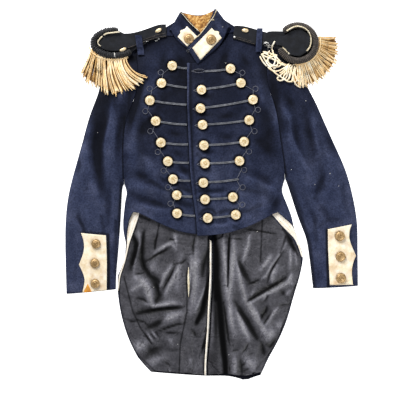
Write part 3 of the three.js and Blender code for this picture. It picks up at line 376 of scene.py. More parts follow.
# a noise scale counts its lumps to the metre: 24 is clouds of 40 mm, 250 a nap of 4 mm, drawn
# coarser than the real one so that it shows
def navyWool():
    # felted broadcloth dyed with indigo: matt, a soft nap; painted light on the ridges, painted shade
    # in the troughs and hollows
    material, tree, surface, places = newMaterial("navy_wool_broadcloth")
    lift = addNode(tree, "ShaderNodeAttribute", attribute_name="wear_and_painted_shading").outputs["Fac"]
    cloud = addNode(tree, "ShaderNodeTexNoise", {"Vector": places, "Scale": 24.0, "Detail": 5.0,
                                                 "Roughness": 0.6})
    nap = addNode(tree, "ShaderNodeTexNoise", {"Vector": places, "Scale": 250.0, "Detail": 5.0,
                                               "Roughness": 0.7})
    twill = addNode(tree, "ShaderNodeTexWave", {"Vector": places, "Scale": 250.0, "Distortion": 3.0,
                                                "Detail": 2.0}, bands_direction="DIAGONAL").outputs["Fac"]
    base = addNode(tree, "ShaderNodeValToRGB", {"Fac": cloud}, stops=[
        (0.30, "#2b324b"), (0.50, "#3a415b"), (0.70, "#4b516b")])
    # wear and the painted light and shade of the folds: lighter on ridges, darker in troughs
    level = addNode(tree, "ShaderNodeMapRange", {"Value": lift, "From Min": -0.9, "From Max": 1.0,
                                                  "To Min": 0.0, "To Max": 1.0})
    toneAndPaintedShading = addNode(tree, "ShaderNodeValToRGB", {"Fac": level}, stops=[
        (0.0, "#34363f"), (0.42, "#a0a2aa"), (0.9, "#ffffff")])
    shaded = addNode(tree, "ShaderNodeMixRGB", {"Fac": 0.93, "Color1": base, "Color2": toneAndPaintedShading},
                     blend_type="MULTIPLY")
    grain = addNode(tree, "ShaderNodeValToRGB", {"Fac": nap}, stops=[
        (0.34, "#6e7078"), (0.60, "#ffffff")])
    flecked = addNode(tree, "ShaderNodeMixRGB", {"Fac": 0.72, "Color1": shaded, "Color2": grain},
                      blend_type="MULTIPLY")
    # painted shade: the pieces' dark attribute pulls the wool to near black where shadow falls
    gloom = addNode(tree, "ShaderNodeAttribute", attribute_name="dark").outputs["Fac"]
    sunk = addNode(tree, "ShaderNodeMixRGB", {"Fac": gloom, "Color1": flecked,
                                              "Color2": toLinear("#05060c")})
    rise = addNode(tree, "ShaderNodeMath", {0: nap, 1: twill}, operation="MULTIPLY")
    bump = addNode(tree, "ShaderNodeBump", {"Height": rise, "Strength": 0.5, "Distance": 0.0007})
    fillSockets(tree, surface, {
        "Base Color": sunk, "Normal": bump, "Roughness": 0.88, "Specular IOR Level": 0.12,
        "Sheen Weight": 0.1, "Sheen Roughness": 0.45, "Sheen Tint": toLinear("#8087a8")})
    return material


def glazedCotton():
    # black glazed cotton lining: a smooth plain weave with a dull polish; painted highlights grey
    # its fold crests, and painted shade darkens its troughs and creases
    material, tree, surface, places = newMaterial("black_glazed_cotton")
    lift = addNode(tree, "ShaderNodeAttribute", attribute_name="wear_and_painted_shading").outputs["Fac"]
    seamsAndPaintedShade = addNode(tree, "ShaderNodeAttribute", attribute_name="dark").outputs["Fac"]
    cloud = addNode(tree, "ShaderNodeTexNoise", {"Vector": places, "Scale": 30.0, "Detail": 6.0,
                                                 "Roughness": 0.62})
    grime = addNode(tree, "ShaderNodeTexNoise", {"Vector": places, "Scale": 190.0, "Detail": 3.0,
                                                 "Roughness": 0.6})
    base = addNode(tree, "ShaderNodeValToRGB", {"Fac": cloud}, stops=[
        (0.30, "#86858a"), (0.52, "#97969b"), (0.75, "#a7a6ac")])
    # painted light and shade of the folds: crests painted pale, troughs near black
    level = addNode(tree, "ShaderNodeMapRange", {"Value": lift, "From Min": -1.0, "From Max": 1.0,
                                                  "To Min": 0.0, "To Max": 1.0})
    toneAndPaintedShading = addNode(tree, "ShaderNodeValToRGB", {"Fac": level}, stops=[
        (0.0, "#0e0e0f"), (0.28, "#464648"), (0.5, "#8c8c90"), (0.74, "#d2d2d8"), (1.0, "#ffffff")])
    shaded = addNode(tree, "ShaderNodeMixRGB", {"Fac": 1.0, "Color1": base, "Color2": toneAndPaintedShading},
                     blend_type="MULTIPLY")
    grimeAndDarkening = addNode(tree, "ShaderNodeValToRGB", {"Fac": grime}, stops=[
        (0.35, "#8e8e91"), (0.62, "#ffffff")])
    dusty = addNode(tree, "ShaderNodeMixRGB", {"Fac": 0.5, "Color1": shaded, "Color2": grimeAndDarkening},
                    blend_type="MULTIPLY")
    crumple = addNode(tree, "ShaderNodeTexNoise", {"Vector": places, "Scale": 22.0, "Detail": 2.5,
                                                   "Roughness": 0.5, "Distortion": 0.6})
    centred = addNode(tree, "ShaderNodeMath", {0: crumple, 1: 0.5}, operation="SUBTRACT")
    ridges = addNode(tree, "ShaderNodeMath", {0: centred}, operation="ABSOLUTE")
    # painted shade: thin dark lines along the crumple's creases
    paintedCreaseShade = addNode(tree, "ShaderNodeValToRGB", {"Fac": ridges}, stops=[
        (0.0, "#77777a"), (0.012, "#ffffff"), (0.03, "#ffffff"), (0.06, "#dededf")])
    withPaintedCreaseShade = addNode(tree, "ShaderNodeMixRGB", {"Fac": 0.7, "Color1": dusty, "Color2": paintedCreaseShade},
                      blend_type="MULTIPLY")
    # the dark seams, and painted shade near black where shadow falls
    withSeamsAndPaintedShade = addNode(tree, "ShaderNodeMixRGB", {"Fac": seamsAndPaintedShade, "Color1": withPaintedCreaseShade,
                                                  "Color2": toLinear("#060607")})
    weave = addNode(tree, "ShaderNodeTexNoise", {"Vector": places, "Scale": 900.0, "Detail": 2.0})
    wrinkle = addNode(tree, "ShaderNodeTexNoise", {"Vector": places, "Scale": 110.0, "Detail": 4.0,
                                                   "Roughness": 0.6, "Distortion": 0.8})
    fine = addNode(tree, "ShaderNodeBump", {"Height": weave, "Strength": 0.25, "Distance": 0.0003})
    folded = addNode(tree, "ShaderNodeBump", {"Height": ridges, "Strength": 0.4, "Distance": 0.014,
                                              "Normal": fine})
    bump = addNode(tree, "ShaderNodeBump", {"Height": wrinkle, "Strength": 0.2, "Distance": 0.0025,
                                            "Normal": folded})
    polish = addNode(tree, "ShaderNodeMapRange", {"Value": cloud, "From Min": 0.3, "From Max": 0.7,
                                                  "To Min": 0.36, "To Max": 0.52})
    # the seams and the painted shade are rougher and less glossy, so they stay dark
    duller = addNode(tree, "ShaderNodeMath", {0: seamsAndPaintedShade, 1: 0.5, 2: polish}, operation="MULTIPLY_ADD")
    gleam = addNode(tree, "ShaderNodeMapRange", {"Value": seamsAndPaintedShade, "From Min": 0.0, "From Max": 1.0,
                                                 "To Min": 0.16, "To Max": 0.03})
    fillSockets(tree, surface, {"Base Color": withSeamsAndPaintedShade, "Normal": bump, "Roughness": duller,
                                "Specular IOR Level": gleam, "Sheen Weight": 0.04})
    return material


def creamWool(name="cream_facing_wool", pale="#fff9e8", middle="#fcf0d4", soiled="#eedcb6"):
    # undyed fulled wool: off-white and matt, cloudy with dirt, tan or rust where it is stained
    material, tree, surface, places = newMaterial(name)
    stain = addNode(tree, "ShaderNodeAttribute", attribute_name="stain").outputs["Fac"]
    cloud = addNode(tree, "ShaderNodeTexNoise", {"Vector": places, "Scale": 70.0, "Detail": 6.0,
                                                 "Roughness": 0.65})
    nap = addNode(tree, "ShaderNodeTexNoise", {"Vector": places, "Scale": 600.0, "Detail": 3.0})
    base = addNode(tree, "ShaderNodeValToRGB", {"Fac": cloud}, stops=[
        (0.32, soiled), (0.50, middle), (0.66, pale)])
    dirty = addNode(tree, "ShaderNodeMixRGB", {"Fac": stain, "Color1": base,
                                               "Color2": toLinear("#b8864a")})
    bump = addNode(tree, "ShaderNodeBump", {"Height": nap, "Strength": 0.4, "Distance": 0.0005})
    fillSockets(tree, surface, {"Base Color": dirty, "Normal": bump, "Roughness": 0.9,
                                "Specular IOR Level": 0.2, "Sheen Weight": 0.1})
    return material


def wornSilk():
    # tan silk of the collar's inside, rubbed through in blotches to its pale backing
    material, tree, surface, places = newMaterial("worn_tan_silk")
    blotch = addNode(tree, "ShaderNodeTexNoise", {"Vector": places, "Scale": 120.0, "Detail": 6.0,
                                                  "Roughness": 0.72, "Distortion": 0.6})
    base = addNode(tree, "ShaderNodeValToRGB", {"Fac": blotch}, stops=[
        (0.30, "#3e220a"), (0.42, "#8c5618"), (0.52, "#c08a3c"), (0.61, "#e6bc74"), (0.71, "#fff0c4")])
    bump = addNode(tree, "ShaderNodeBump", {"Height": blotch, "Strength": 0.4, "Distance": 0.0012})
    fillSockets(tree, surface, {"Base Color": base, "Normal": bump, "Roughness": 0.7,
                                "Sheen Weight": 0.15})
    return material


def metalSkin(name, low, middle, high, roughness, scale, bareness):
    # stamped brass under its dirt: thin gilt rubbed uneven, or bare metal gone brown in its hollows
    material, tree, surface, places = newMaterial(name)
    cloud = addNode(tree, "ShaderNodeTexNoise", {"Vector": places, "Scale": scale, "Detail": 5.0,
                                                 "Roughness": 0.65})
    hollow = addNode(tree, "ShaderNodeAttribute", attribute_name="hollow").outputs["Fac"]
    mixed = addNode(tree, "ShaderNodeMath", {0: cloud, 1: hollow}, operation="SUBTRACT")
    base = addNode(tree, "ShaderNodeValToRGB", {"Fac": mixed}, stops=[
        (0.14, low), (0.40, middle), (0.60, high)])
    bump = addNode(tree, "ShaderNodeBump", {"Height": cloud, "Strength": 0.35, "Distance": 0.0004})
    fillSockets(tree, surface, {"Base Color": base, "Normal": bump, "Metallic": bareness,
                                "Roughness": roughness})
    return material


def cordYarn(name, dark, middle, pale, roughness=0.75, sheen=0.2, scale=90.0):
    # spun and plied yarn, matt and cloudy; wound on a roll, it has painted shade in the hollows
    # between windings
    material, tree, surface, places = newMaterial(name)
    cloud = addNode(tree, "ShaderNodeTexNoise", {"Vector": places, "Scale": scale, "Detail": 5.0,
                                                 "Roughness": 0.7})
    fibre = addNode(tree, "ShaderNodeTexNoise", {"Vector": places, "Scale": 1200.0, "Detail": 3.0})
    base = addNode(tree, "ShaderNodeValToRGB", {"Fac": cloud}, stops=[
        (0.33, dark), (0.50, middle), (0.66, pale)])
    hollow = addNode(tree, "ShaderNodeAttribute", attribute_name="hollow").outputs["Fac"]
    # painted shade in the hollows between a roll's windings
    sunk = addNode(tree, "ShaderNodeMixRGB", {"Fac": hollow, "Color1": base,
                                              "Color2": toLinear("#030303")})
    bump = addNode(tree, "ShaderNodeBump", {"Height": fibre, "Strength": 0.35, "Distance": 0.0003})
    fillSockets(tree, surface, {"Base Color": sunk, "Normal": bump, "Roughness": roughness,
                                "Specular IOR Level": 0.3, "Sheen Weight": sheen})
    return material


def blackWool():
    # fine black facecloth over the stiffened epaulette, dusty grey-blue on top
    material, tree, surface, places = newMaterial("black_wool_facecloth")
    cloud = addNode(tree, "ShaderNodeTexNoise", {"Vector": places, "Scale": 60.0, "Detail": 6.0,
                                                 "Roughness": 0.65})
    nap = addNode(tree, "ShaderNodeTexNoise", {"Vector": places, "Scale": 500.0, "Detail": 3.0})
    base = addNode(tree, "ShaderNodeValToRGB", {"Fac": cloud}, stops=[
        (0.30, "#0a0b0f"), (0.50, "#12141a"), (0.70, "#1e2129")])
    bump = addNode(tree, "ShaderNodeBump", {"Height": nap, "Strength": 0.45, "Distance": 0.0006})
    fillSockets(tree, surface, {"Base Color": base, "Normal": bump, "Roughness": 0.86,
                                "Specular IOR Level": 0.25, "Sheen Weight": 0.18})
    return material


def studioFloor():
    # pale paper sweep, lit almost to white
    material, tree, surface, places = newMaterial("pale_paper")
    fillSockets(tree, surface, {"Base Color": toLinear("#f4f4f4"), "Roughness": 0.95,
                                "Emission Color": toLinear("#ffffff"), "Emission Strength": 1.0})
    return material


navy = navyWool()
cotton = glazedCotton()
cream = creamWool()
stripCream = creamWool("cream_strip_wool", "#fdf9f0", "#f8f0e2", "#ebdfca")
silk = wornSilk()
gilt = metalSkin("rubbed_gilt_brass", "#846032", "#d3b67e", "#faebcc", 0.5, 300.0, 0.3)
brass = metalSkin("dull_brass", "#4c3a22", "#8f7147", "#c8a674", 0.46, 300.0, 0.4)
braidYarn = cordYarn("grey_brown_mohair_braid", "#484a50", "#64666d", "#82848b")
thinYarn = cordYarn("grey_brown_thin_cord", "#44454f", "#5b5d69", "#777984")
fringePeach = cordYarn("peach_silk_cord", "#e6be82", "#fadaa4", "#ffecc6", 0.6, 0.08, 40.0)
fringePale = cordYarn("pale_silk_cord", "#f4dcb4", "#ffeecc", "#fffbea", 0.6, 0.08, 40.0)
fringeTan = cordYarn("tan_silk_cord", "#ae8248", "#d2a866", "#eccb92", 0.6, 0.08, 40.0)
# the darkest cords are painted shade among the fringe's lower layers
fringePaintedShade = cordYarn("painted_shade_brown_silk_cord", "#553814", "#785426", "#966e36", 0.7, 0.04, 40.0)
black = blackWool()
ribbedCord = cordYarn("black_worsted_cord", "#0a0a0c", "#1a1b1f", "#3a3c42", 0.6, 0.15, 240.0)
greyCord = cordYarn("charcoal_ribbed_cord", "#2e2824", "#4b433d", "#6c6159", 0.7, 0.15, 200.0)
pipingCord = cordYarn("cream_piping_cord", "#cdb98f", "#ecdfbf", "#fdf6e2", 0.7, 0.2)
whiteThread = cordYarn("white_linen_thread", "#d6d2c8", "#f2f0ea", "#ffffff", 0.7, 0.2)
tinned = metalSkin("tinned_brass", "#3e3f44", "#626368", "#8e8f94", 0.5, 260.0, 0.4)
pearl = metalSkin("silvered_brass", "#8a8a84", "#c0c0ba", "#ececea", 0.5, 260.0, 0.3)
rust = creamWool("rust_stained_wool", "#f2b456", "#e29a30", "#b4641a")
print("materials")

# the studio, in metres: a camera straight above, a key light beyond the collar, a weaker fill
studio = {
    "cameraHeight": 2.6, "lens": 90.0, "sensor": 36.0, "asideX": -0.0299, "asideY": -0.0135,
    "lights": {
        "key": {"place": (-1.3, 2.9, 1.85), "size": 1.7, "power": 215.0},
        "fill": {"place": (1.5, -1.3, 1.5), "size": 1.2, "power": 38.0},
    },
    "skyColour": "#f4f7ff", "skyStrength": 0.14, "floorHalf": 4.0, "floorHeight": -0.0006,
}
low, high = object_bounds()
middle = (Vector(low) + Vector(high)) / 2
eye = bpy.data.cameras.new("eye")
eye.lens = studio["lens"]
eye.sensor_width = studio["sensor"]
camera = linked("eye", eye)
camera.location = (middle.x + studio["asideX"], middle.y + studio["asideY"], studio["cameraHeight"])
scene.camera = camera

for name, lamp in studio["lights"].items():
    data = bpy.data.lights.new(name, "AREA")
    data.size = lamp["size"]
    data.energy = lamp["power"]
    light = linked(name, data)
    light.location = lamp["place"]
    light.rotation_euler = (-Vector(lamp["place"])).to_track_quat("-Z", "Y").to_euler()
world = bpy.data.worlds.new("studio")
world.use_nodes = True
sky = world.node_tree.nodes["Background"]
sky.inputs["Color"].default_value = toLinear(studio["skyColour"])
sky.inputs["Strength"].default_value = studio["skyStrength"]
scene.world = world

bm = bmesh.new()
bmesh.ops.create_grid(bm, x_segments=1, y_segments=1, size=studio["floorHalf"])
bmesh.ops.translate(bm, verts=bm.verts, vec=(0, 0, studio["floorHeight"]))
floor = meshFrom(bm, "floor", turnOut=False)
floor.data.materials.append(studioFloor())
print("studio")

# the two halves of the back, with painted shade, near black, between the tails, where the opening
# widens downwards, and under the hem
backs = {
    "right": {"node": "back_right", "flat": (0.246, 0.895), "area": 0.178},
    "left": {"node": "back_left", "flat": (0.268, 0.912), "area": 0.172},
}
slitHalf = 14  # half its width at the hem
for side, back in backs.items():
    piece = clothFromNode(back["node"], "coat_back_" + side, cornerAngle=0.2)
    spots = spotsOf(piece)
    besides = [awayFromLine(spots, [(4, -110), (end / 2, -290), (end, -474)])[0]
               for end in (slitHalf, -slitHalf)]
    inSlit = 1 - ramp(np.minimum(*besides), 17, 26)
    underHem = ramp(-spots[:, 1], 448, 462)
    # painted shade, near black, in the opening between the tails and under the tails' hem
    setNumbers(piece, "dark", np.maximum(0.97 * inSlit, 0.85 * underHem))
    setNumbers(piece, "wear_and_painted_shading", 0.25 * unevenness(spots, 30, 5.0))
    finishPiece(piece, navy, "navy_wool", [back["node"]])
print("backs")

# the linings of the tails; a fold or a gloom is its half width, its lift or depth, and its line;
# a gloom is painted shade
tails = {
    "right": {
        "node": "tail_lining_right", "flat": (0.234, 0.425), "area": 0.081,
        "folds": [
            (9, -5.5, [(-206, -108), (-194, -130), (-195, -146), (-205, -172), (-209, -196)]),
            (6, 3.6, [(-189, -95), (-185, -127), (-193, -154), (-201, -185), (-203, -207)]),
            (7, -5.5, [(-174, -95), (-179, -127), (-181, -164), (-174, -191), (-158, -213), (-136, -225)]),
            (5, -4.5, [(-168, -173), (-148, -159), (-126, -148), (-113, -139)]),
            (5, 4, [(-158, -162), (-142, -150), (-121, -134), (-105, -128), (-91, -142)]),
            (5, 3, [(-95, -106), (-92, -130)]), (3.5, -3.5, [(-138, -101), (-146, -119), (-148, -140)]),
            (3, -3, [(-111, -116), (-95, -118)]), (15, 2.5, [(-161, -185), (-145, -193)]),
            (3.5, -3, [(-97, -181), (-76, -177), (-65, -167)]),
            (5, -4.5, [(-95, -185), (-105, -207), (-119, -233), (-124, -244)]),
            (6, 4.5, [(-104, -185), (-121, -212), (-133, -238), (-138, -265)]),
            (7, 4, [(-87, -191), (-100, -217), (-113, -244), (-121, -262)]),
            (9, -6, [(-150, -223), (-138, -244), (-137, -262), (-146, -284)]),
            (10, 5, [(-198, -215), (-177, -227), (-165, -249), (-158, -273), (-150, -289)]),
            (6, 4.5, [(-169, -281), (-150, -290), (-126, -287), (-100, -282), (-79, -284)]),
            (6, -6.5, [(-194, -308), (-164, -303), (-132, -297), (-100, -295), (-77, -293)]),
            (8, 3, [(-211, -249), (-190, -238), (-177, -235)]),
            (4, -3.5, [(-195, -269), (-177, -272), (-161, -284)]),
            (3, -3, [(-198, -207), (-177, -204)]),
            (3, -3, [(-222, -323), (-209, -329), (-190, -326), (-174, -331), (-161, -345)]),
            (8, -4, [(-169, -347), (-145, -337), (-124, -323)]),
            (9, 4, [(-124, -329), (-100, -314), (-76, -307)]),
            (3.5, -4, [(-142, -357), (-119, -347), (-95, -338), (-68, -334)]),
            (3, -2.5, [(-134, -361), (-105, -358), (-79, -361)]), (2.6, -2.6, [(-174, -361), (-158, -383)]),
            (2.6, 2.6, [(-168, -358), (-152, -380)]), (2.6, -2.6, [(-161, -357), (-146, -376)]),
            (2.6, 2.6, [(-155, -355), (-140, -373)]), (2.6, -2.6, [(-149, -354), (-135, -370)]),
            (14, 3, [(-198, -408), (-185, -392), (-166, -382)]),
            (12, -3, [(-174, -422), (-153, -406), (-129, -395)]),
            (14, 2.5, [(-164, -443), (-148, -432), (-132, -424)]),
            (3, -2.5, [(-113, -404), (-97, -404), (-81, -402)]),
            (2.5, -2.5, [(-61, -180), (-65, -207), (-64, -238), (-61, -265)]),
            (2.5, -2.5, [(-59, -180), (-51, -212), (-53, -244), (-60, -276)]),
            (13, 3.6, [(-40, -132), (-43, -199), (-46, -265), (-55, -305)]),
            (6, -5, [(-11, -146), (-21, -185), (-24, -212)]),
            (3.5, 4, [(-7, -193), (-16, -238), (-28, -270), (-43, -305)]),
            (8, -7, [(-6, -217), (-12, -260), (-23, -302), (-39, -335)]),
            (4, -4, [(-12, -361), (-20, -392), (-26, -411)]),
            (4, -3.5, [(-43, -108), (-48, -132), (-47, -162)]),
            (6, 2.5, [(-55, -228), (-52, -159)]), (8, 2, [(-79, -159), (-89, -207), (-89, -249)]),
            (7, 2, [(-113, -371), (-100, -387)]), (5, -2.5, [(-55, -347), (-36, -371)]),
            (6, 2, [(-57, -422), (-52, -440)]), (5, -2, [(-124, -432), (-105, -445)]),
            (4, 2, [(-111, -451), (-109, -461)]), (3, -2, [(-113, -449), (-113, -461)]),
        ],
        "seams": [
            [(-227, -213), (-204, -303), (-184, -346), (-154, -389)],
            [(-63, -299), (-70, -335), (-81, -386), (-84, -462)],
            [(-136, -74), (-147, -142)], [(-62, -200), (-64, -300)],
        ],
        "glooms": [(6, 0.95, [(-9, -205), (-14, -258), (-24, -303), (-38, -332)]),
                   (4, 0.8, [(-12, -361), (-22, -398)]),
                  (6, 0.85, [(-196, -130), (-198, -152), (-206, -180)]),
                   (4, 0.7, [(-177, -100), (-180, -150)]),
                  (5, 0.9, [(-6, -112), (-8, -160), (-9, -200)]),
                   (3, 0.6, [(-190, -308), (-150, -300), (-90, -293)]),
                  (4, 0.85, [(-193, -58), (-197, -83), (-206, -105)]),
                   (4.5, 0.85, [(-203, -105), (-193, -132)]),
                  (4, 0.7, [(-184, -58), (-161, -67)])],
    },
    "left": {
        "node": "tail_lining_left", "flat": (0.245, 0.425), "area": 0.077,
        "folds": [
            (7, -6, [(6, -114), (10, -146), (11, -185), (10, -228)]),
            (7, -7, [(19, -228), (20, -265), (24, -318), (27, -358), (31, -398), (35, -432), (36, -464)]),
            (6, 4.5, [(31, -108), (32, -146), (35, -185), (38, -228), (40, -254)]),
            (2.6, -5, [(46, -114), (44, -159), (43, -199), (42, -238)]),
            (8, 4.5, [(56, -116), (58, -148), (53, -185), (49, -228), (47, -265)]),
            (3, -4, [(31, -278), (36, -318), (41, -358), (47, -392)]),
            (7, 3.5, [(40, -252), (47, -292), (52, -331), (60, -368)]),
            (6, 6, [(63, -167), (71, -199), (77, -233), (89, -276), (104, -305), (121, -334), (142, -366)]),
            (5, 4, [(97, -278), (116, -307), (128, -334), (149, -363)]),
            (6.5, -6.5, [(63, -281), (76, -305), (95, -334), (110, -361), (120, -375)]),
            (8, 5, [(63, -297), (75, -326), (85, -353), (97, -376)]),
            (6, -6.5, [(90, -278), (116, -260), (148, -242), (174, -228), (193, -216)]),
            (4.5, 5, [(97, -283), (132, -264), (169, -246), (195, -231), (209, -209)]),
            (5, 4, [(126, -196), (140, -180), (156, -156)]),
            (4, -4, [(97, -233), (110, -228), (132, -217)]),
            (3.5, 4.5, [(116, -226), (140, -212), (156, -185), (174, -159), (193, -127)]),
            (4, -4.5, [(145, -228), (149, -212), (157, -193), (169, -172), (186, -146)]),
            (8, 3.5, [(169, -185), (158, -207), (156, -228)]),
            (8, -5, [(68, -167), (81, -199), (99, -228)]),
            (5, 4, [(98, -106), (95, -132), (87, -156), (80, -175)]), (2.6, -2.5, [(49, -114), (81, -116)]),
            (2.6, -3, [(89, -90), (126, -95), (156, -101), (169, -102)]),
            (5, -4.5, [(195, -108), (209, -132), (223, -156)]),
            (5, 3.5, [(204, -140), (205, -170), (202, -193)]),
            (4, 3, [(217, -146), (221, -185)]), (5, 3.5, [(207, -207), (202, -228), (211, -232)]),
            (2.5, -3, [(169, -290), (190, -287), (209, -284)]),
            (6, -5, [(128, -323), (137, -307), (144, -292)]),
            (4, -3.5, [(134, -337), (148, -318), (156, -305)]),
            (5, 4, [(172, -292), (156, -313), (142, -338)]),
            (9, 4, [(145, -374), (156, -361), (153, -347)]), (6, -4.5, [(128, -384), (137, -416)]),
            (6, -4, [(140, -387), (153, -393), (166, -376)]),
            (2.6, -3.5, [(79, -410), (89, -400), (95, -387)]),
            (2.6, -3, [(52, -404), (71, -402)]), (15, 3, [(89, -422), (110, -456)]),
            (2.6, -2.5, [(76, -445), (89, -437)]), (2.6, -2.5, [(81, -459), (98, -451)]),
            (2.6, -2.5, [(46, -443), (48, -465)]), (9, -3, [(73, -424), (79, -467)]),
            (8, 2.5, [(60, -419), (60, -467)]), (10, 2.5, [(177, -329), (169, -347)]),
            (8, -3, [(179, -249), (195, -265)]), (7, 2.5, [(187, -265), (206, -249)]),
            (5, 3, [(110, -249), (102, -265)]), (4, -3, [(132, -281), (142, -270), (148, -254)]),
            (5, 3, [(142, -254), (134, -276)]), (6, 2.5, [(-1, -265), (2, -318), (-1, -398)]),
            (5, -2.5, [(10, -270), (11, -318), (12, -384)]),
        ],
        "seams": [[(132, -66), (127, -173)], [(47, -102), (43, -239)]],
        "glooms": [(12.5, 1.0, [(4, -106), (9, -150), (11, -185), (11, -232), (14, -270)]),
                  (8.5, 1.0, [(18, -262), (22, -300), (26, -350), (31, -398), (35, -432), (37, -466)]),
                  (4, 0.6, [(2, -250), (1, -300)]), (2.4, 0.85, [(45, -114), (43, -160), (42, -238)]),
                  (3, 0.7, [(92, -277), (130, -256), (172, -229)]),
                   (3, 0.6, [(68, -300), (100, -347), (118, -374)]),
                  (14, 0.5, [(2, -290), (4, -380), (6, -460)]),
                   (4.5, 0.85, [(186, -89), (197, -104), (208, -120)]),
                  (3.5, 0.75, [(219, -126), (231, -146)]),
                   (3, 0.7, [(193, -108), (186, -130), (178, -152)])],
    },
}
# the glazed cotton: how sharp its folds are, how high its crumple stands, the heights that its two
# sides don't sink below, how strongly each of these is painted into its colour, and how strong that
# painted shade and painted highlight are
tailCloth = {
    "crisp": 1.35, "lift": 3.0, "crush": 1.2, "lumps": 1.2, "seamHalf": 2.2, "seamSink": 0.8,
    "lowestTop": 3.4, "lowestUnder": 2.45,
    "paintedFoldShading": 1.35, "paintedCrushShading": 0.45, "paintedLumpShading": 0.35, "paintedShadeStrength": 0.21, "paintedHighlightStrength": 0.25,
}
for side, tail in tails.items():
    piece = clothFromNode(tail["node"], "coat_tail_lining_" + side)
    spots = spotsOf(piece)
    folds = foldLift(tail["folds"], spots, tailCloth["crisp"])
    crush = creaseNet(spots, 38, 3.0) - 0.5 + 0.5 * (creaseNet(spots, 17, 8.0) - 0.5)
    lumps = unevenness(spots, 42, 11.0, 0.8)
    seams = gloomOver(spots, [(tailCloth["seamHalf"], 1, line) for line in tail["seams"]], 2)
    # calm by the waist, where the lining is sewn down; a dip flattens out before it meets the back
    calm = ramp(-spots[:, 1], 78, 118)
    lift = calm * (tailCloth["lift"] + folds + tailCloth["crush"] * crush + tailCloth["lumps"] * lumps)
    lift = lift - tailCloth["seamSink"] * seams
    depth = spots[:, 2] - np.where(facingUp(piece), tailCloth["lowestTop"], tailCloth["lowestUnder"])
    lift = np.where(lift < 0, -depth * (1 - np.exp(lift / np.maximum(depth, 0.05))), lift)
    spots[:, 2] += np.where(depth > 0.02, lift, 0)
    if side == "left":
        # the lining's lower edge dips with the wool's at one place
        spots[:, 1] -= 10 * np.exp(-((spots[:, 0] - 88) / 36) ** 2) * ramp(-spots[:, 1], 440, 466)
    setSpots(piece, spots)
    # painted highlights on the crests and painted shade in the troughs of folds, crumple and lumps
    crests = foldLift([(0.75 * width, rise, line) for width, rise, line in tail["folds"]], spots, 1.25)
    paintedShading = (tailCloth["paintedFoldShading"] * crests + tailCloth["paintedCrushShading"] * crush
              + tailCloth["paintedLumpShading"] * lumps)
    strength = np.where(paintedShading < 0, tailCloth["paintedShadeStrength"], tailCloth["paintedHighlightStrength"])
    setNumbers(piece, "wear_and_painted_shading", np.clip(strength * paintedShading, -1, 1))
    # the seams are dark joints; the glooms are painted shade
    setNumbers(piece, "dark", np.maximum(0.85 * seams, gloomOver(spots, tail["glooms"], 4)))
    finishPiece(piece, cotton, "black_cotton", [tail["node"]])
    tail["piece"] = piece
print("tail linings")

# cream wool strips down the tails and beside the opening between them, whose line leans slightly
strips = {
    "tail_edge_right": {"flat": (0.022, 0.226), "area": 0.0020},
    "tail_edge_left": {"flat": (0.022, 0.152), "area": 0.0018},
    "vent_edge": {"flat": (0.012, 0.366), "area": 0.0019},
}
ventLine = {"x": -2.9, "y": -120.9, "lean": 0.0391, "shown": 0.8, "top": -119}
for name, strip in strips.items():
    piece = clothFromNode(name, name + "_strip", levels=2)
    spots = spotsOf(piece)
    spots[:, 2] += 0.25 * (1 + unevenness(spots, 9, 2.0))
    if name == "vent_edge":
        # partly turned under, its upper end cut slantwise
        line = ventLine["x"] + (spots[:, 1] - ventLine["y"]) * ventLine["lean"]
        spots[:, 0] = line + ventLine["shown"] * (spots[:, 0] - line)
        spots[:, 1] = np.where(spots[:, 1] > ventLine["top"],
                               ventLine["top"] - 0.6 * (spots[:, 0] - line), spots[:, 1])
    setSpots(piece, spots)
    setNumbers(piece, "stain", np.clip(0.03 + 0.14 * unevenness(spots, 14, 6.0), 0, 0.3))
    finishPiece(piece, stripCream, "cream_wool", [name])
    strip["piece"] = piece
print("cream strips")

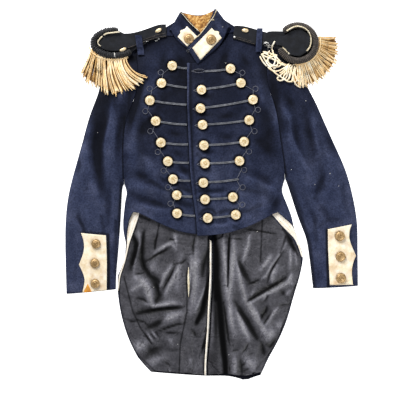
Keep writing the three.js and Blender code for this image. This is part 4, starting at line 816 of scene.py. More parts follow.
# the fronts; the pair after "area" is the wool's tone at the shoulder and at the waist, from
# -1 to 1, darker above and lighter below; "shades" are broad patches of painted light and shade on
# that, written as folds are; "glooms" are painted shade, and "lapShade" a painted shadow
fronts = {
    "right": {
        "node": "front_right", "flat": (0.245, 0.547), "area": 0.083, "toneAboveBelow": (-0.95, 0.55),
        "buttons": ("right",), "lapShade": 0.8,
        "shades": [(18, -1.1, [(-178, 290), (-183, 200), (-184, 130), (-180, 60)]),
                   (26, -0.35, [(-150, 190), (-125, 70)]),
                   (22, 0.6, [(-150, -60), (-118, -82)]), (18, 0.35, [(-112, 40), (-112, -10)]),
                   (16, -0.5, [(-118, 20), (-90, 0)]), (34, 0.75, [(-165, 366), (-60, 366)])],
        "glooms": [(12, 0.42, [(-184, 285), (-186, 200), (-184, 120), (-180, 50)]),
                   (13, 0.32, [(-160, 6), (-108, -4)]),
                   (10, 0.3, [(-80, 345), (-74, 310)]),
                   (6, 0.72, [(-85, 18), (-70, 14), (-56, 9)]),
                   (5.6, 0.62, [(-75, -17), (-62, -24), (-53, -27)]),
                   (6.6, 0.55, [(-157, 35), (-129, 18), (-110, 9)]),
                   (6, 0.5, [(-150, -18), (-126, -30), (-100, -30)]),
                   (5, 0.5, [(-80, 72), (-58, 60)]), (5, 0.42, [(-92, 130), (-70, 122)])],
        "folds": [
            (12, -1.8, [(-218, 7), (-176, -12), (-144, -24), (-103, -19)]),
            (12, 1.6, [(-216, 25), (-170, 6), (-124, -2)]),
            (7, -1.5, [(-84, 68), (-58, 53)]), (7, -1.5, [(-104, 34), (-80, 28), (-58, 19)]),
            (7, -1.4, [(-100, -18), (-56, -35)]), (6, -1.3, [(-135, 44), (-113, 27)]),
            (7, 1.2, [(-90, 52), (-60, 38)]), (7, 1.2, [(-96, 6), (-60, -8)]),
            (24, 1.8, [(-150, 330), (-185, 210), (-194, 120), (-188, 60)]),
            (10, -1.7, [(-180, 300), (-200, 226), (-214, 160)]),
            (9, -1.3, [(-92, 366), (-78, 338), (-72, 310)]), (8, -1.0, [(-120, 372), (-128, 330)]),
            (14, -1.4, [(-150, 200), (-190, 150)]), (14, 1.2, [(-200, 90), (-150, 70)]),
            (10, -1.3, [(-210, 60), (-170, 40), (-150, 20)]), (9, 1.2, [(-190, -30), (-120, -50)]),
            (7, -1.2, [(-100, 110), (-74, 100)]), (7, -1.0, [(-110, 160), (-76, 152)]),
        ],
    },
    "left": {
        "node": "front_left", "flat": (0.277, 0.536), "area": 0.107, "toneAboveBelow": (-0.65, 0.6),
        "buttons": ("middle", "left"), "lapShade": 0.0,
        "shades": [(18, -0.8, [(144, 345), (146, 280), (148, 225)]), (12, 0.3, [(-30, 210), (-26, 60)]),
                   (14, -0.5, [(118, 320), (124, 280)]), (16, -0.6, [(120, 20), (128, -10)]),
                   (16, 0.5, [(4, 125), (2, 20)]), (34, 0.55, [(10, 366), (112, 368)])],
        "glooms": [(14, 0.5, [(132, 362), (142, 300), (148, 240), (150, 200)]),
                   (13, 0.42, [(118, 22), (142, 4), (162, -18)]),
                   (12, 0.95, [(136, 368), (158, 362)]), (10, 0.25, [(96, -30), (120, -46)]),
                   (5, 0.75, [(-29, -50), (-22, -41), (-10, -37), (2, -40), (10, -49)]),
                   (6, 0.62, [(22, -47), (36, -41), (48, -40)]),
                   (6.6, 0.5, [(77, 15), (100, 12), (129, 5)]),
                   (6, 0.5, [(67, -47), (98, -40), (126, -27)]),
                   (5.4, 0.55, [(-30, 10), (-16, 7), (-4, 11)]),
                   (5, 0.5, [(60, -84), (76, -92)]), (5.4, 0.5, [(-36, 104), (-28, 96)])],
        "folds": [
            (7, -1.6, [(-34, 8), (0, 6), (43, 12)]), (7, 1.2, [(-30, -4), (40, -2)]),
            (6, -1.5, [(-28, 110), (6, 108)]), (6, -1.2, [(-28, 60), (8, 62)]),
            (6, -1.2, [(-30, 252), (2, 254)]), (6, -1.2, [(-34, 204), (-2, 206)]),
            (12, -2.0, [(157, -52), (172, -18), (188, 14)]), (12, 1.6, [(134, -44), (156, 4), (176, 40)]),
            (10, 1.7, [(-25, -86), (32, -82), (100, -64)]), (7, -1.4, [(-17, -72), (24, -74), (61, -69)]),
            (18, -1.6, [(131, 222), (150, 170), (152, 116)]),
            (22, 1.7, [(120, 320), (150, 240), (168, 150)]),
            (14, 1.5, [(100, 38), (140, 10), (168, -14)]), (12, -1.4, [(96, 60), (140, 36), (180, 10)]),
            (9, -1.3, [(40, 372), (30, 340), (20, 322)]), (8, -1.0, [(74, 370), (96, 330)]),
            (14, -1.2, [(110, 150), (160, 100)]), (9, 1.2, [(60, -30), (110, -40)]),
            (5, -1.0, [(-56, 330), (-54, 200), (-50, 60), (-42, -20), (-34, -100)]),
            (7, -1.1, [(20, 150), (56, 146)]), (7, -1.0, [(20, 200), (60, 204)]),
        ],
    },
}


def boxMiddle(box):
    return (box[0].x + box[1].x) / 2 / mm, (box[0].y + box[1].y) / 2 / mm


def buttonPlaces(column):
    # the middles of one column's buttons by their numbers, from the top
    names = sorted(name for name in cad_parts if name.startswith("button_" + column + "_"))
    return {int(name.split("_")[-1]): boxMiddle(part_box(name)) for name in names}


def toneAndPaintedShades(part, spots):
    # the wool is darker towards the shoulders and lighter towards the hem and cuffs, and the shades
    # add painted light and shade
    above, below = part["toneAboveBelow"]
    return below + (above - below) * ramp(spots[:, 1], -60, 330) + foldLift(part["shades"], spots)


def paintedRelief(lift):
    # painted light on the ridges, stronger than the painted shade in the troughs
    return np.where(lift < 0, 0.34, 0.6) * lift


# the edge of the left front, which laps over the right one
lapLine = [(-61, 339), (-63.7, 246), (-59, 142), (-56.4, 79.3), (-52.8, 35), (-47.8, -6.5),
           (-40.3, -57.2), (-36.7, -107)]
buttonPull = {"dip": 0.9, "dipHalf": 14, "ring": 0.45, "ringAt": 22, "ringHalf": 7,
              "shadeFrom": 14.4, "shadeHalf": 3.2}
for side, front in fronts.items():
    piece = clothFromNode(front["node"], "coat_front_" + side)
    spots = spotsOf(piece)
    folds = foldLift(front["folds"], spots)
    puckers = np.zeros(len(spots))
    under = np.zeros(len(spots))
    for column in front["buttons"]:
        for x, y in buttonPlaces(column).values():
            # each button pulls the wool into a dimple with a low ring about it, and a painted shadow rings
            # its foot
            away = np.hypot(spots[:, 0] - x, (spots[:, 1] - y) * 1.15)
            beyond = (away - buttonPull["ringAt"]) / buttonPull["ringHalf"]
            puckers -= buttonPull["dip"] * np.exp(-(away / buttonPull["dipHalf"]) ** 2)
            puckers += buttonPull["ring"] * np.exp(-beyond ** 2)
            away = np.hypot(spots[:, 0] - x, spots[:, 1] - y)
            beyond = np.maximum(away - buttonPull["shadeFrom"], 0) / buttonPull["shadeHalf"]
            under = np.maximum(under, 0.97 * np.exp(-beyond ** 2))
    lumps = unevenness(spots, 38, 21.0, 0.6) + 0.3 * unevenness(spots, 13, 4.0)
    raised = ramp(spots[:, 2], 4.6, 12)
    lift = raised * (1.9 * folds + puckers + lumps)
    spots[:, 2] += lift
    setSpots(piece, spots)
    # painted shade: the glooms, and on the right front a painted shadow beside the lapping edge
    under = np.maximum(under, gloomOver(spots, front["glooms"], 3))
    lapAway = awayFromLine(spots, lapLine)[0]
    under = np.maximum(under, front["lapShade"] * np.exp(-(lapAway / 5.0) ** 2))
    paintedEdgeLight = 0
    if side == "left":
        # a painted highlight along the lapping edge, with a line of painted shade inside it
        paintedEdgeLight = 1.7 * np.exp(-((lapAway - 2.0) / 2.3) ** 2) - 0.7 * np.exp(-((lapAway - 7.0) / 2.4) ** 2)
    # painted light on the ridges and painted shade in the troughs, on the tone from shoulder to waist
    toneAndPaintedShading = toneAndPaintedShades(front, spots) + paintedEdgeLight + paintedRelief(lift - 0.5 * raised * lumps)
    setNumbers(piece, "dark", np.clip(under, 0, 1))
    setNumbers(piece, "wear_and_painted_shading", np.clip(toneAndPaintedShading, -1, 1))
    finishPiece(piece, navy, "navy_wool", [front["node"]])
    front["piece"] = piece
print("fronts")

# the sleeves, laid out at the coat's sides, written as the fronts are
sleeves = {
    "right": {
        "node": "sleeve_right", "flat": (0.39, 0.66), "area": 0.155, "toneAboveBelow": (-0.7, 0.85),
        "shades": [(18, -0.8, [(-292, 280), (-290, 200), (-294, 130), (-292, 20)]),
                   (14, 0.4, [(-352, 60), (-356, -40)]),
                   (16, 0.8, [(-366, -110), (-366, -190)]), (12, 1.1, [(-254, -110), (-256, -210)]),
                   (14, 0.6, [(-330, 56), (-326, 16)]), (5, 0.7, [(-257, -80), (-257, -200)])],
        "glooms": [(10, 0.9, [(-212, 350), (-190, 356)]), (3.2, 0.85, [(-336, -97), (-270, -102.5)]),
                   (4.2, 0.9, [(-267.5, -104), (-266.5, -180), (-266.5, -244)]),
                   (6, 0.6, [(-210, 262), (-214, 200), (-218, 150)]),
                   (4, 0.8, [(-224, 200), (-228, 120), (-227, 40)]),
                   (4, 0.75, [(-233, 30), (-238, -44), (-240, -104)]),
                   (9, 0.3, [(-270, 240), (-288, 138), (-286, 80), (-282, 4)]),
                   (4, 0.5, [(-349, -56), (-338, -74), (-327, -94)]), (5, 0.4, [(-284, -56), (-278, -98)]),
                   (4.5, 0.5, [(-248, -70), (-247, -130), (-250, -205)])],
        "folds": [
            (11, -3.4, [(-275, 194), (-297, 130), (-293, 66), (-280, -6)]),
            (9, 2.6, [(-333, 134), (-328, 66), (-346, 12)]),
            (9, 2.4, [(-328, 66), (-305, 10), (-289, -52)]),
            (5, 1.6, [(-334, 132), (-329, 80), (-321, 48), (-305, 4), (-289, -38)]),
            (4.5, 1.4, [(-321, 51), (-337, 23)]),
            (6, 1.8, [(-259, 252), (-257, 201), (-267, 154), (-276, 106)]),
            (6, -3.2, [(-347, -40), (-338, -70), (-324, -100)]),
            (9, 2.2, [(-336, -36), (-322, -66), (-306, -92)]),
            (11, -2.6, [(-262, 24), (-266, -40), (-268, -92)]),
            (14, 2.4, [(-250, 200), (-262, 120), (-262, 60)]),
            (10, -2.2, [(-226, 220), (-240, 150), (-242, 90)]),
            (9, 1.8, [(-320, 190), (-322, 150)]), (8, -1.8, [(-310, 40), (-330, 0)]),
            (8, 1.8, [(-250, 10), (-252, -60), (-250, -120)]), (10, -1.8, [(-340, 90), (-346, 50)]),
            (8, -1.6, [(-246, -120), (-256, -180), (-262, -240)]), (7, 1.2, [(-262, -170), (-266, -240)]),
            (9, -1.6, [(-240, 300), (-262, 240)]), (9, 1.6, [(-220, 290), (-238, 240)]),
            (6, -1.4, [(-360, -110), (-352, -180), (-356, -240)]),
        ],
    },
    "left": {
        "node": "sleeve_left", "flat": (0.40, 0.65), "area": 0.165, "toneAboveBelow": (-0.35, 0.75),
        "shades": [(18, -0.6, [(150, 330), (160, 250), (175, 160)]), (14, 0.4, [(330, 90), (345, 20)]),
                   (14, 0.8, [(250, -60), (266, -100), (276, -200)]),
                   (7, 0.8, [(284, -100), (285, -170), (289, -235)]), (6, 0.7, [(250, -52), (256, -92)])],
        "glooms": [(15, 0.95, [(140, 366), (160, 360), (182, 342), (200, 332)]),
                   (10, 0.45, [(158, 300), (166, 240), (178, 170)]),
                   (4.4, 0.9, [(297.5, -90), (299, -150), (302, -242)]),
                   (12, 0.6, [(203, 24), (214, -20), (226, -50)]), (11, 0.32, [(245, 165), (258, 88)]),
                   (7.5, 0.75, [(212, -10), (226, -50), (240, -90), (251, -124), (258, -180), (265, -240)]),
                   (5, 0.85, [(162, 240), (175, 154), (185, 89), (192, 48)]),
                   (4, 0.7, [(195, 36), (217, -15), (238, -84)]),
                   (6, 0.42, [(266, -9), (278, 8), (289, 24)]),
                   (10, 0.26, [(276, 177), (286, 102), (282, 37)]),
                   (5.5, 0.4, [(268, -60), (267, -90), (270, -118)]),
                   (5, 0.4, [(279, -80), (296, -68), (314, -62), (336, -68)])],
        "folds": [
            (10, 2.8, [(199, 153), (232, 84), (259, 20), (255, -35)]),
            (5, 1.6, [(201, 193), (207, 145), (230, 96), (253, 31), (256, -35)]),
            (6, 1.5, [(279, -28), (305, 4), (325, 44)]),
            (8, -3.2, [(292, 52), (280, 26), (264, -2)]), (10, -2.4, [(214, 190), (222, 120), (246, 70)]),
            (12, 2.2, [(262, 200), (278, 130), (296, 70)]), (10, -2.4, [(240, 220), (256, 150), (276, 90)]),
            (7, 1.8, [(288, -190), (292, -214), (290, -236)]), (8, -1.6, [(276, -180), (280, -236)]),
            (9, -2.2, [(276, -20), (300, -60), (318, -80)]), (9, 2.0, [(280, 0), (310, -30), (336, -50)]),
            (9, -1.8, [(330, 60), (340, 0), (350, -50)]), (10, 1.8, [(312, 100), (326, 40), (334, -20)]),
            (8, -2.0, [(238, 10), (262, -60), (274, -120)]),
            (8, 1.6, [(256, -70), (272, -130), (280, -170)]),
            (9, -1.8, [(190, 260), (214, 220)]), (9, 1.6, [(180, 230), (206, 190)]),
            (10, -1.6, [(300, 160), (318, 110)]), (6, -1.2, [(360, -90), (366, -180)]),
        ],
    },
}
for side, sleeve in sleeves.items():
    piece = clothFromNode(sleeve["node"], "coat_sleeve_" + side)
    spots = spotsOf(piece)
    folds = foldLift(sleeve["folds"], spots)
    lumps = 1.1 * unevenness(spots, 44, 31.0, 0.6) + 0.35 * unevenness(spots, 14, 7.0)
    raised = ramp(spots[:, 2], 3.0, 11)
    lift = raised * (1.15 * folds + lumps)
    spots[:, 2] += lift
    setSpots(piece, spots)
    # painted light on ridges, painted shade in troughs and glooms, on the tone from shoulder to cuff
    toneAndPaintedShading = toneAndPaintedShades(sleeve, spots) + paintedRelief(lift - 0.65 * raised * lumps)
    setNumbers(piece, "wear_and_painted_shading", np.clip(toneAndPaintedShading, -1, 1))
    setNumbers(piece, "dark", gloomOver(spots, sleeve["glooms"], 4))
    finishPiece(piece, navy, "navy_wool", [sleeve["node"]])
    sleeve["piece"] = piece
print("sleeves")


def laidPlate(name, outline, ground, thick, air=0.2, step=2.5, bare=0.0):
    # a thin scrap of cloth of that outline, laid on what is under it; bare is the height it keeps
    # where nothing is
    bm = bmesh.new()
    bm.faces.new([bm.verts.new((x, y, 0)) for x, y in outline])
    bmesh.ops.triangulate(bm, faces=bm.faces)
    longest = max(edge.calc_length() for edge in bm.edges)
    cuts = max(1, min(9, int(longest / step)))
    bmesh.ops.subdivide_edges(bm, edges=bm.edges, cuts=cuts, use_grid_fill=True)
    bmesh.ops.recalc_face_normals(bm, faces=bm.faces)
    if sum(face.normal.z for face in bm.faces) < 0:
        bmesh.ops.reverse_faces(bm, faces=bm.faces)
    for vert in bm.verts:
        vert.co.z = ground.under(vert.co.x, vert.co.y, 1.0, bare) + air + thick
    bmesh.ops.solidify(bm, geom=bm.faces[:], thickness=thick)
    bmesh.ops.scale(bm, verts=bm.verts, vec=(mm, mm, mm))
    return meshFrom(bm, name)


collar = {
    "node": "collar", "flat": (0.066, 0.44), "area": 0.0205,
    "folds": [
        (5, -0.8, [(-84, 452), (-66, 424), (-44, 404)]), (7, 0.7, [(6, 456), (24, 430), (34, 412)]),
        (6, -0.7, [(12, 440), (-8, 414), (-36, 388)]), (5, 0.6, [(-96, 434), (-80, 410)]),
    ],
    "glooms": [(5.5, 0.85, [(-72, 462), (-54, 440), (-34, 416)])],
}
piece = clothFromNode(collar["node"], "coat_collar")
spots = spotsOf(piece)
lift = ramp(spots[:, 2], 8, 13) * (foldLift(collar["folds"], spots) + 0.5 * unevenness(spots, 20, 3.0))
spots[:, 2] += np.clip(lift, -0.3, 0.9)
setSpots(piece, spots)
# the folds painted in as light on ridges and shade in troughs; the gloom is painted shade
setNumbers(piece, "wear_and_painted_shading", np.clip(lift / 1.4, -1, 1))
setNumbers(piece, "dark", gloomOver(spots, collar["glooms"], 4))
finishPiece(piece, navy, "navy_wool", [collar["node"]])
collar["piece"] = piece

lining = {"node": "collar_lining", "flat": (0.11, 0.1), "area": 0.0087}
piece = clothFromNode(lining["node"], "coat_collar_lining", levels=4)
spots = spotsOf(piece)
spots[:, 2] += 0.7 * unevenness(spots, 13, 3.0) + 0.35 * unevenness(spots, 5, 9.0)
setSpots(piece, spots)
finishPiece(piece, silk, "tan_lining", [lining["node"]])
lining["piece"] = piece

# cream facings of the collar and cuffs; a stain is its middle, its reach and how brown it is
facings = {
    "collar_patch_right": {
        "flat": (0.05, 0.053), "area": 0.00155, "on": "coat_collar",
        "outline": [(-63.7, 435.2), (-69.4, 428.5), (-73.6, 426.1), (-78.8, 425.4), (-81.1, 422.8),
                    (-80.6, 417.8), (-83.7, 412.9), (-87.4, 407.9), (-62.9, 383), (-58.8, 387.1),
                    (-36.4, 407.9)],
        "stains": [(-58.5, 402.7, 15, 0.35), (-70, 414, 8, 0.2), (-48, 384, 7, 0.25)],
    },
    "collar_patch_left": {
        "flat": (0.058, 0.086), "area": 0.0026, "on": "coat_collar",
        "outline": [(0.5, 430.3), (7.5, 422.8), (15.9, 422), (19.5, 419.4), (19, 414.4), (26.5, 404.6),
                    (-28.6, 347.4), (-49.7, 378.3)],
        "stains": [(-1, 400.1, 15, 0.35), (22, 402, 8, 0.2), (-38, 366, 9, 0.15)],
    },
    "cuff_flap_right": {
        "flat": (0.08, 0.16), "area": 0.0094, "on": "coat_sleeve_right",
        "stains": [(-298, -127.1, 17, 0.42), (-301, -176.8, 18, 0.5), (-300, -229.8, 19, 0.5),
                   (-334, -184, 14, 0.24), (-282, -202, 12, 0.25), (-327, -116, 9, 0.2),
                   (-276, -150, 10, 0.16), (-276, -238, 12, 0.22), (-312, -204, 10, 0.2)],
    },
    "cuff_flap_left": {
        "flat": (0.078, 0.16), "area": 0.0089, "on": "coat_sleeve_left",
        "stains": [(330.5, -107.1, 18, 0.5), (332.8, -160.2, 18, 0.5), (334.1, -215.8, 18, 0.5),
                   (368, -160, 14, 0.35), (362, -200, 12, 0.3), (312, -190, 12, 0.35),
                   (304, -110, 9, 0.3), (318, -234, 10, 0.3), (352, -132, 9, 0.2)],
    },
}
for name, facing in facings.items():
    if "outline" in facing:
        piece = laidPlate("coat_" + name, facing["outline"], Ground([collar["piece"]]), 1.3, 0.25, 1.6)
    else:
        piece = clothFromNode(name, "coat_" + name)
    spots = spotsOf(piece)
    spots[:, 2] += 0.3 * unevenness(spots, 18, 5.0) + 0.12 * unevenness(spots, 5, 2.0)
    setSpots(piece, spots)
    stain = 0.05 + 0.16 * unevenness(spots, 13, 6.0) + 0.12 * unevenness(spots, 4.5, 16.0)
    for x, y, reach, brown in facing["stains"]:
        away = np.hypot(spots[:, 0] - x, spots[:, 1] - y) / reach
        stain += brown * np.exp(-(away * (1 + 0.25 * unevenness(spots, 8, 12.0))) ** 3)
    setNumbers(piece, "stain", np.clip(stain, 0, 0.9))
    finishPiece(piece, cream, "cream_wool", [name])
    facing["piece"] = piece
print("collar and facings")

# the wool of the neck seam, under the collar's outer corners
stands = {
    "right": [(-124, 430), (-112, 438), (-98, 446), (-88, 424), (-100, 410), (-124, 412)],
    "left": [(60, 436), (48, 444), (32, 454), (22, 430), (34, 418), (60, 420)],
}
frontGround = Ground(piecesOf(fronts))
for side, outline in stands.items():
    piece = laidPlate("neck_seam_" + side, outline, frontGround, 1.6, 0.1, 4.0, 4.5)
    setNumbers(piece, "wear_and_painted_shading", 0.3 * unevenness(spotsOf(piece), 9, 3.0) - 0.3)
    finishPiece(piece, navy, "navy_wool")

# epaulettes: a stiff strap and pad, a thick roll round the pad, and a fringe hung from it. The roll
# runs on an ellipse of that centre and those half widths, between two angles in degrees; "winding"
# is from one turn of its cord to the next, and "wild" how uneven the turns are
epaulettes = {
    "right": {
        "board": "epaulette_board_right", "roll": "epaulette_crescent_right",
        "centre": (-250.5, 391.5), "size": (55, 33), "from": 80, "to": 320,
        "proud": 0.6, "winding": 5.2, "hollow": 0.24, "seed": 7, "wild": 2.0, "skin": ribbedCord,
        "neck": [(-204, 371), (-190, 379), (-170, 391), (-168, 404), (-196, 413), (-224, 415)],
        "baseFlat": (0.075, 0.14), "baseArea": 0.0083,
        "dents": [(6, -0.8, [(-150, 420), (-152, 408)]), (12, 0.9, [(-262, 398), (-236, 388)])],
    },
    "left": {
        "board": "epaulette_board_left", "roll": "epaulette_crescent_left",
        "centre": (222, 391), "size": (47, 46), "from": 140, "to": -163,
        "proud": 0.7, "winding": 4.2, "hollow": 0.15, "seed": 5, "wild": 0.25, "skin": greyCord,
        "neck": [(172, 376), (158, 381), (140, 386), (138, 412), (146, 421.5), (162, 422.5),
                 (184, 422)],
        "baseFlat": (0.095, 0.13), "baseArea": 0.0095,
        "dents": [(8, -0.7, [(110, 420), (112, 400)]), (16, 1.1, [(216, 396), (240, 386)])],
    },
}
for side, epaulette in epaulettes.items():
    piece = clothFromNode(epaulette["board"], "board_" + side)
    spots = spotsOf(piece)
    x, y = epaulette["centre"]
    wide, tall = epaulette["size"]
    inPad = np.hypot((spots[:, 0] - x) / (wide - 9), (spots[:, 1] - y) / (tall - 9))
    quilt = 1.4 * np.exp(-inPad ** 4) + foldLift(epaulette["dents"], spots)
    quilt += 0.5 * unevenness(spots, 16, 5.0) + 0.2 * unevenness(spots, 5, 15.0)
    spots[:, 2] += facingUp(piece) * quilt
    setSpots(piece, spots)
    finishPiece(piece, black, "black_cord_cloth", [epaulette["board"]])
    epaulette["piece"] = piece


def closedTube(bm, loops, tips):
    # walls from each loop of points to the next, and a fan to a tip over either end
    sides = len(loops[0])
    for before, after in zip(loops, loops[1:]):
        for k in range(sides):
            n = (k + 1) % sides
            bm.faces.new((before[k], before[n], after[n], after[k]))
    for loop, place in zip((loops[0], loops[-1]), tips):
        tip = bm.verts.new(place)
        for k in range(sides):
            bm.faces.new((loop[k], loop[(k + 1) % sides], tip))


def sweptRoll(name, path, radius, epaulette, sides=20):
    # a padded roll wound with cord: each winding stands proud and is pulled in between
    seed, wild, depth = epaulette["seed"], epaulette["wild"], epaulette["hollow"]
    bm = bmesh.new()
    random.seed(seed)
    loops = []
    sunk = []
    points = resampled(path, 0.7)
    length = sum((b - a).length for a, b in zip(points, points[1:]))
    reached = 0.0
    for i, point in enumerate(points):
        if i:
            reached += (point - points[i - 1]).length
        way = (points[min(i + 1, len(points) - 1)] - points[max(i - 1, 0)]).normalized()
        side = way.cross(Vector((0, 0, 1))).normalized()
        up = side.cross(way)
        part = reached / length
        toEnd = min(part, 1 - part) * length
        ending = min(1.0, 0.6 + 0.4 * math.sqrt(max(0.0, toEnd / (radius * 0.8))))
        loop = []
        for k in range(sides):
            angle = 2 * math.pi * k / sides
            lean = 1.3 * noise.noise(Vector((reached / 9, 0, seed)))
            slant = reached + 0.9 * wild * math.sin(angle + lean)
            crown = 0.5 + 0.5 * math.cos(2 * math.pi * slant / epaulette["winding"])
            sunk.append(1 - crown)
            rough = noise.noise(Vector((reached / 4.5, math.cos(angle) * 1.6,
                                        math.sin(angle) * 1.6 + seed)))
            reach = radius * ending * (1 - depth * (1 - crown)) + wild * 0.75 * rough
            outward = side * math.cos(angle) + up * math.sin(angle)
            loop.append(bm.verts.new((point + outward * reach) * mm))
        loops.append(loop)
    closedTube(bm, loops, [points[0] * mm, points[-1] * mm])
    sunk += [0.5, 0.5]
    piece = meshFrom(bm, name)
    # painted shade in the hollows between windings, for the cord's colour
    setNumbers(piece, "hollow", 0.9 * np.array(sunk) ** 1.3)
    return piece


rollRadius = 8.0
rollSteps = 40
shoulderGround = Ground(piecesOf(fronts, sleeves))
for side, epaulette in epaulettes.items():
    x, y = epaulette["centre"]
    wide, tall = epaulette["size"]
    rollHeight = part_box(epaulette["roll"])[1].z / mm - rollRadius
    path = []
    for i in range(rollSteps + 1):
        angle = math.radians(epaulette["from"] + (epaulette["to"] - epaulette["from"]) * i / rollSteps)
        path.append((x + wide * math.cos(angle), y + tall * math.sin(angle), rollHeight))
    epaulette["rollHeight"] = rollHeight
    piece = sweptRoll("roll_" + side, path, rollRadius + epaulette["proud"], epaulette)
    finishPiece(piece, epaulette["skin"], "black_cord_cloth", [epaulette["roll"]])
    epaulette["rollPiece"] = piece
    outline = [point[:2] for point in path[::2]] + epaulette["neck"]
    base = laidPlate("pad_base_" + side, outline, shoulderGround, 1.6, 0.3, 4.0, 13.0)
    finishPiece(base, black, "black_cord_cloth")
    epaulette["base"] = base
print("boards and rolls")

# straps' pale edge cords, the cream piping round the pads and its loose ends
boardTop = Ground(piecesOf(epaulettes, fronts, sleeves)
                  + [epaulette[part] for epaulette in epaulettes.values()
                     for part in ("base", "rollPiece")])


def laidLine(points, ground, radius, step=2.2, sink=0.15):
    # a cord's middle line, laid on the ground and pressed into it a little
    line = resampled([(x, y, 0) for x, y in points], step)
    return [Vector((p.x, p.y, ground.under(p.x, p.y, radius * 0.7) + radius - sink)) for p in line]


pipingLines = [
    [(-237, 418), (-246, 417.5), (-258, 416), (-269, 414.5), (-278, 410)],
    [(-281, 408), (-288, 401), (-292.5, 394), (-292, 388), (-286, 382)],
    [(192.8, 420), (201, 425.5), (211, 430.5), (221, 432.5), (232, 430.5), (243, 425), (251, 416),
     (255.5, 405), (256, 392), (253, 380), (245, 369)],
    [(182, 378.5), (188, 373.5), (194, 367.5), (201, 361)],
]
bridging = 5  # steps to either side
pipingRuns = []
for line in pipingLines:
    run = laidLine(line, boardTop, 1.6, sink=-0.5)
    heights = [spot.z for spot in run]
    for k, spot in enumerate(run):
        # stiff, so it bridges the dips in what it lies on
        spot.z = max(heights[max(0, k - bridging):k + bridging + 1])
    pipingRuns.append(run)
piping = cordProfile("roll_profile", radius=2.3, plies=2, depth=0.12, sides=8)
piece = cordsMesh("pad_piping", evenCords(pipingRuns), piping, 6)
finishPiece(piece, pipingCord, "fringe_cord")

edgeLines = [
    [(-117.5, 410), (-138, 407), (-166, 398), (-178, 393)],
    [(-120, 417), (-140, 413), (-164, 404), (-176, 400)],
    [(-194, 387.5), (-205, 382), (-215, 379)],
    [(56, 405.5), (76, 400.5), (100, 392.5), (112, 389.5)],
    [(60, 409), (80, 403.5), (104, 396)],
]
edging = cordProfile("edge_profile", radius=0.75, plies=2, depth=0.25, sides=6)
edgeRuns = [laidLine(line, boardTop, 0.75) for line in edgeLines]
piece = cordsMesh("strap_edging", evenCords(edgeRuns), edging, 5)
finishPiece(piece, greyCord, "black_cord_cloth")


def domedStud(bm, place, wide, tall, height, turned=0.0, sides=20):
    # a small oval pressed stud, its rim rolled under; each row is a reach and a rise
    rows = [(1.0, -0.45), (1.04, 0.0), (0.98, 0.38), (0.82, 0.62), (0.55, 0.86), (0.25, 0.97)]
    turn = Matrix.Rotation(turned, 3, "Z")
    loops = []
    for reach, rise in rows:
        loop = []
        for k in range(sides):
            angle = 2 * math.pi * k / sides
            spot = turn @ Vector((wide * reach * math.cos(angle), tall * reach * math.sin(angle),
                                  height * rise))
            loop.append(bm.verts.new((Vector(place) + spot) * mm))
        loops.append(loop)
    tips = [(Vector(place) + Vector((0, 0, height * rise))) * mm for rise in (rows[0][1], 1.0)]
    closedTube(bm, loops, tips)


# a stud is its place, its half length and half width, its height and its turn in radians
studs = [
    (-137.3, 424.3, 8.6, 4.4, 3.0, 0.5), (87.4, 424.3, 8.4, 5.0, 3.0, -0.05),
    (-228.5, 373.5, 8.8, 3.8, 2.8, 0.42),
]
bm = bmesh.new()
for x, y, wide, tall, height, turned in studs:
    domedStud(bm, (x, y, boardTop.under(x, y, 3) + 0.9), wide, tall, height, turned)
piece = meshFrom(bm, "strap_studs")
finishPiece(piece, gilt, "gilt_brass")

rivets = [(59.5, 407.5, 2.9), (-137, 403.8, 2.2), (-144.2, 398.4, 1.8), (-141, 399.6, 1.5)]
bm = bmesh.new()
for x, y, size in rivets:
    domedStud(bm, (x, y, boardTop.under(x, y, 1.5) + 0.4), size, size * 0.8, 1.5)
piece = meshFrom(bm, "strap_rivets")
finishPiece(piece, pearl, "cream_wool")

# the loops that hold the straps down: a folded band over each strap, its sides turned down
loops = {
    "right": {"node": "epaulette_loop_right", "flat": (0.02, 0.056), "area": 0.00095},
    "left": {"node": "epaulette_loop_left", "flat": (0.018, 0.066), "area": 0.00105},
}
for side, loop in loops.items():
    piece = clothFromNode(loop["node"], "strap_loop_" + side)
    spots = spotsOf(piece)
    lowest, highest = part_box(loop["node"])
    x, y = boxMiddle((lowest, highest))
    across = (spots[:, 0] - x) / ((highest.x - lowest.x) / 2 / mm)
    spots[:, 2] += 1.2 * (1 - np.clip(np.abs(across), 0, 1) ** 3) + 0.4 * unevenness(spots, 7, 5.0)
    setSpots(piece, spots)
    setNumbers(piece, "wear_and_painted_shading", np.clip(0.45 + 0.6 * unevenness(spots, 8, 9.0), -1, 1))
    finishPiece(piece, navy, "navy_wool", [loop["node"]])
print("studs, piping and loops")


fringeSkins = [fringePeach, fringePale, fringeTan, fringePaintedShade]
peachTone, paleTone, tanTone, paintedShadeTone = range(4)
cordHalf = 1.35  # half a fringe cord's thickness as it lies
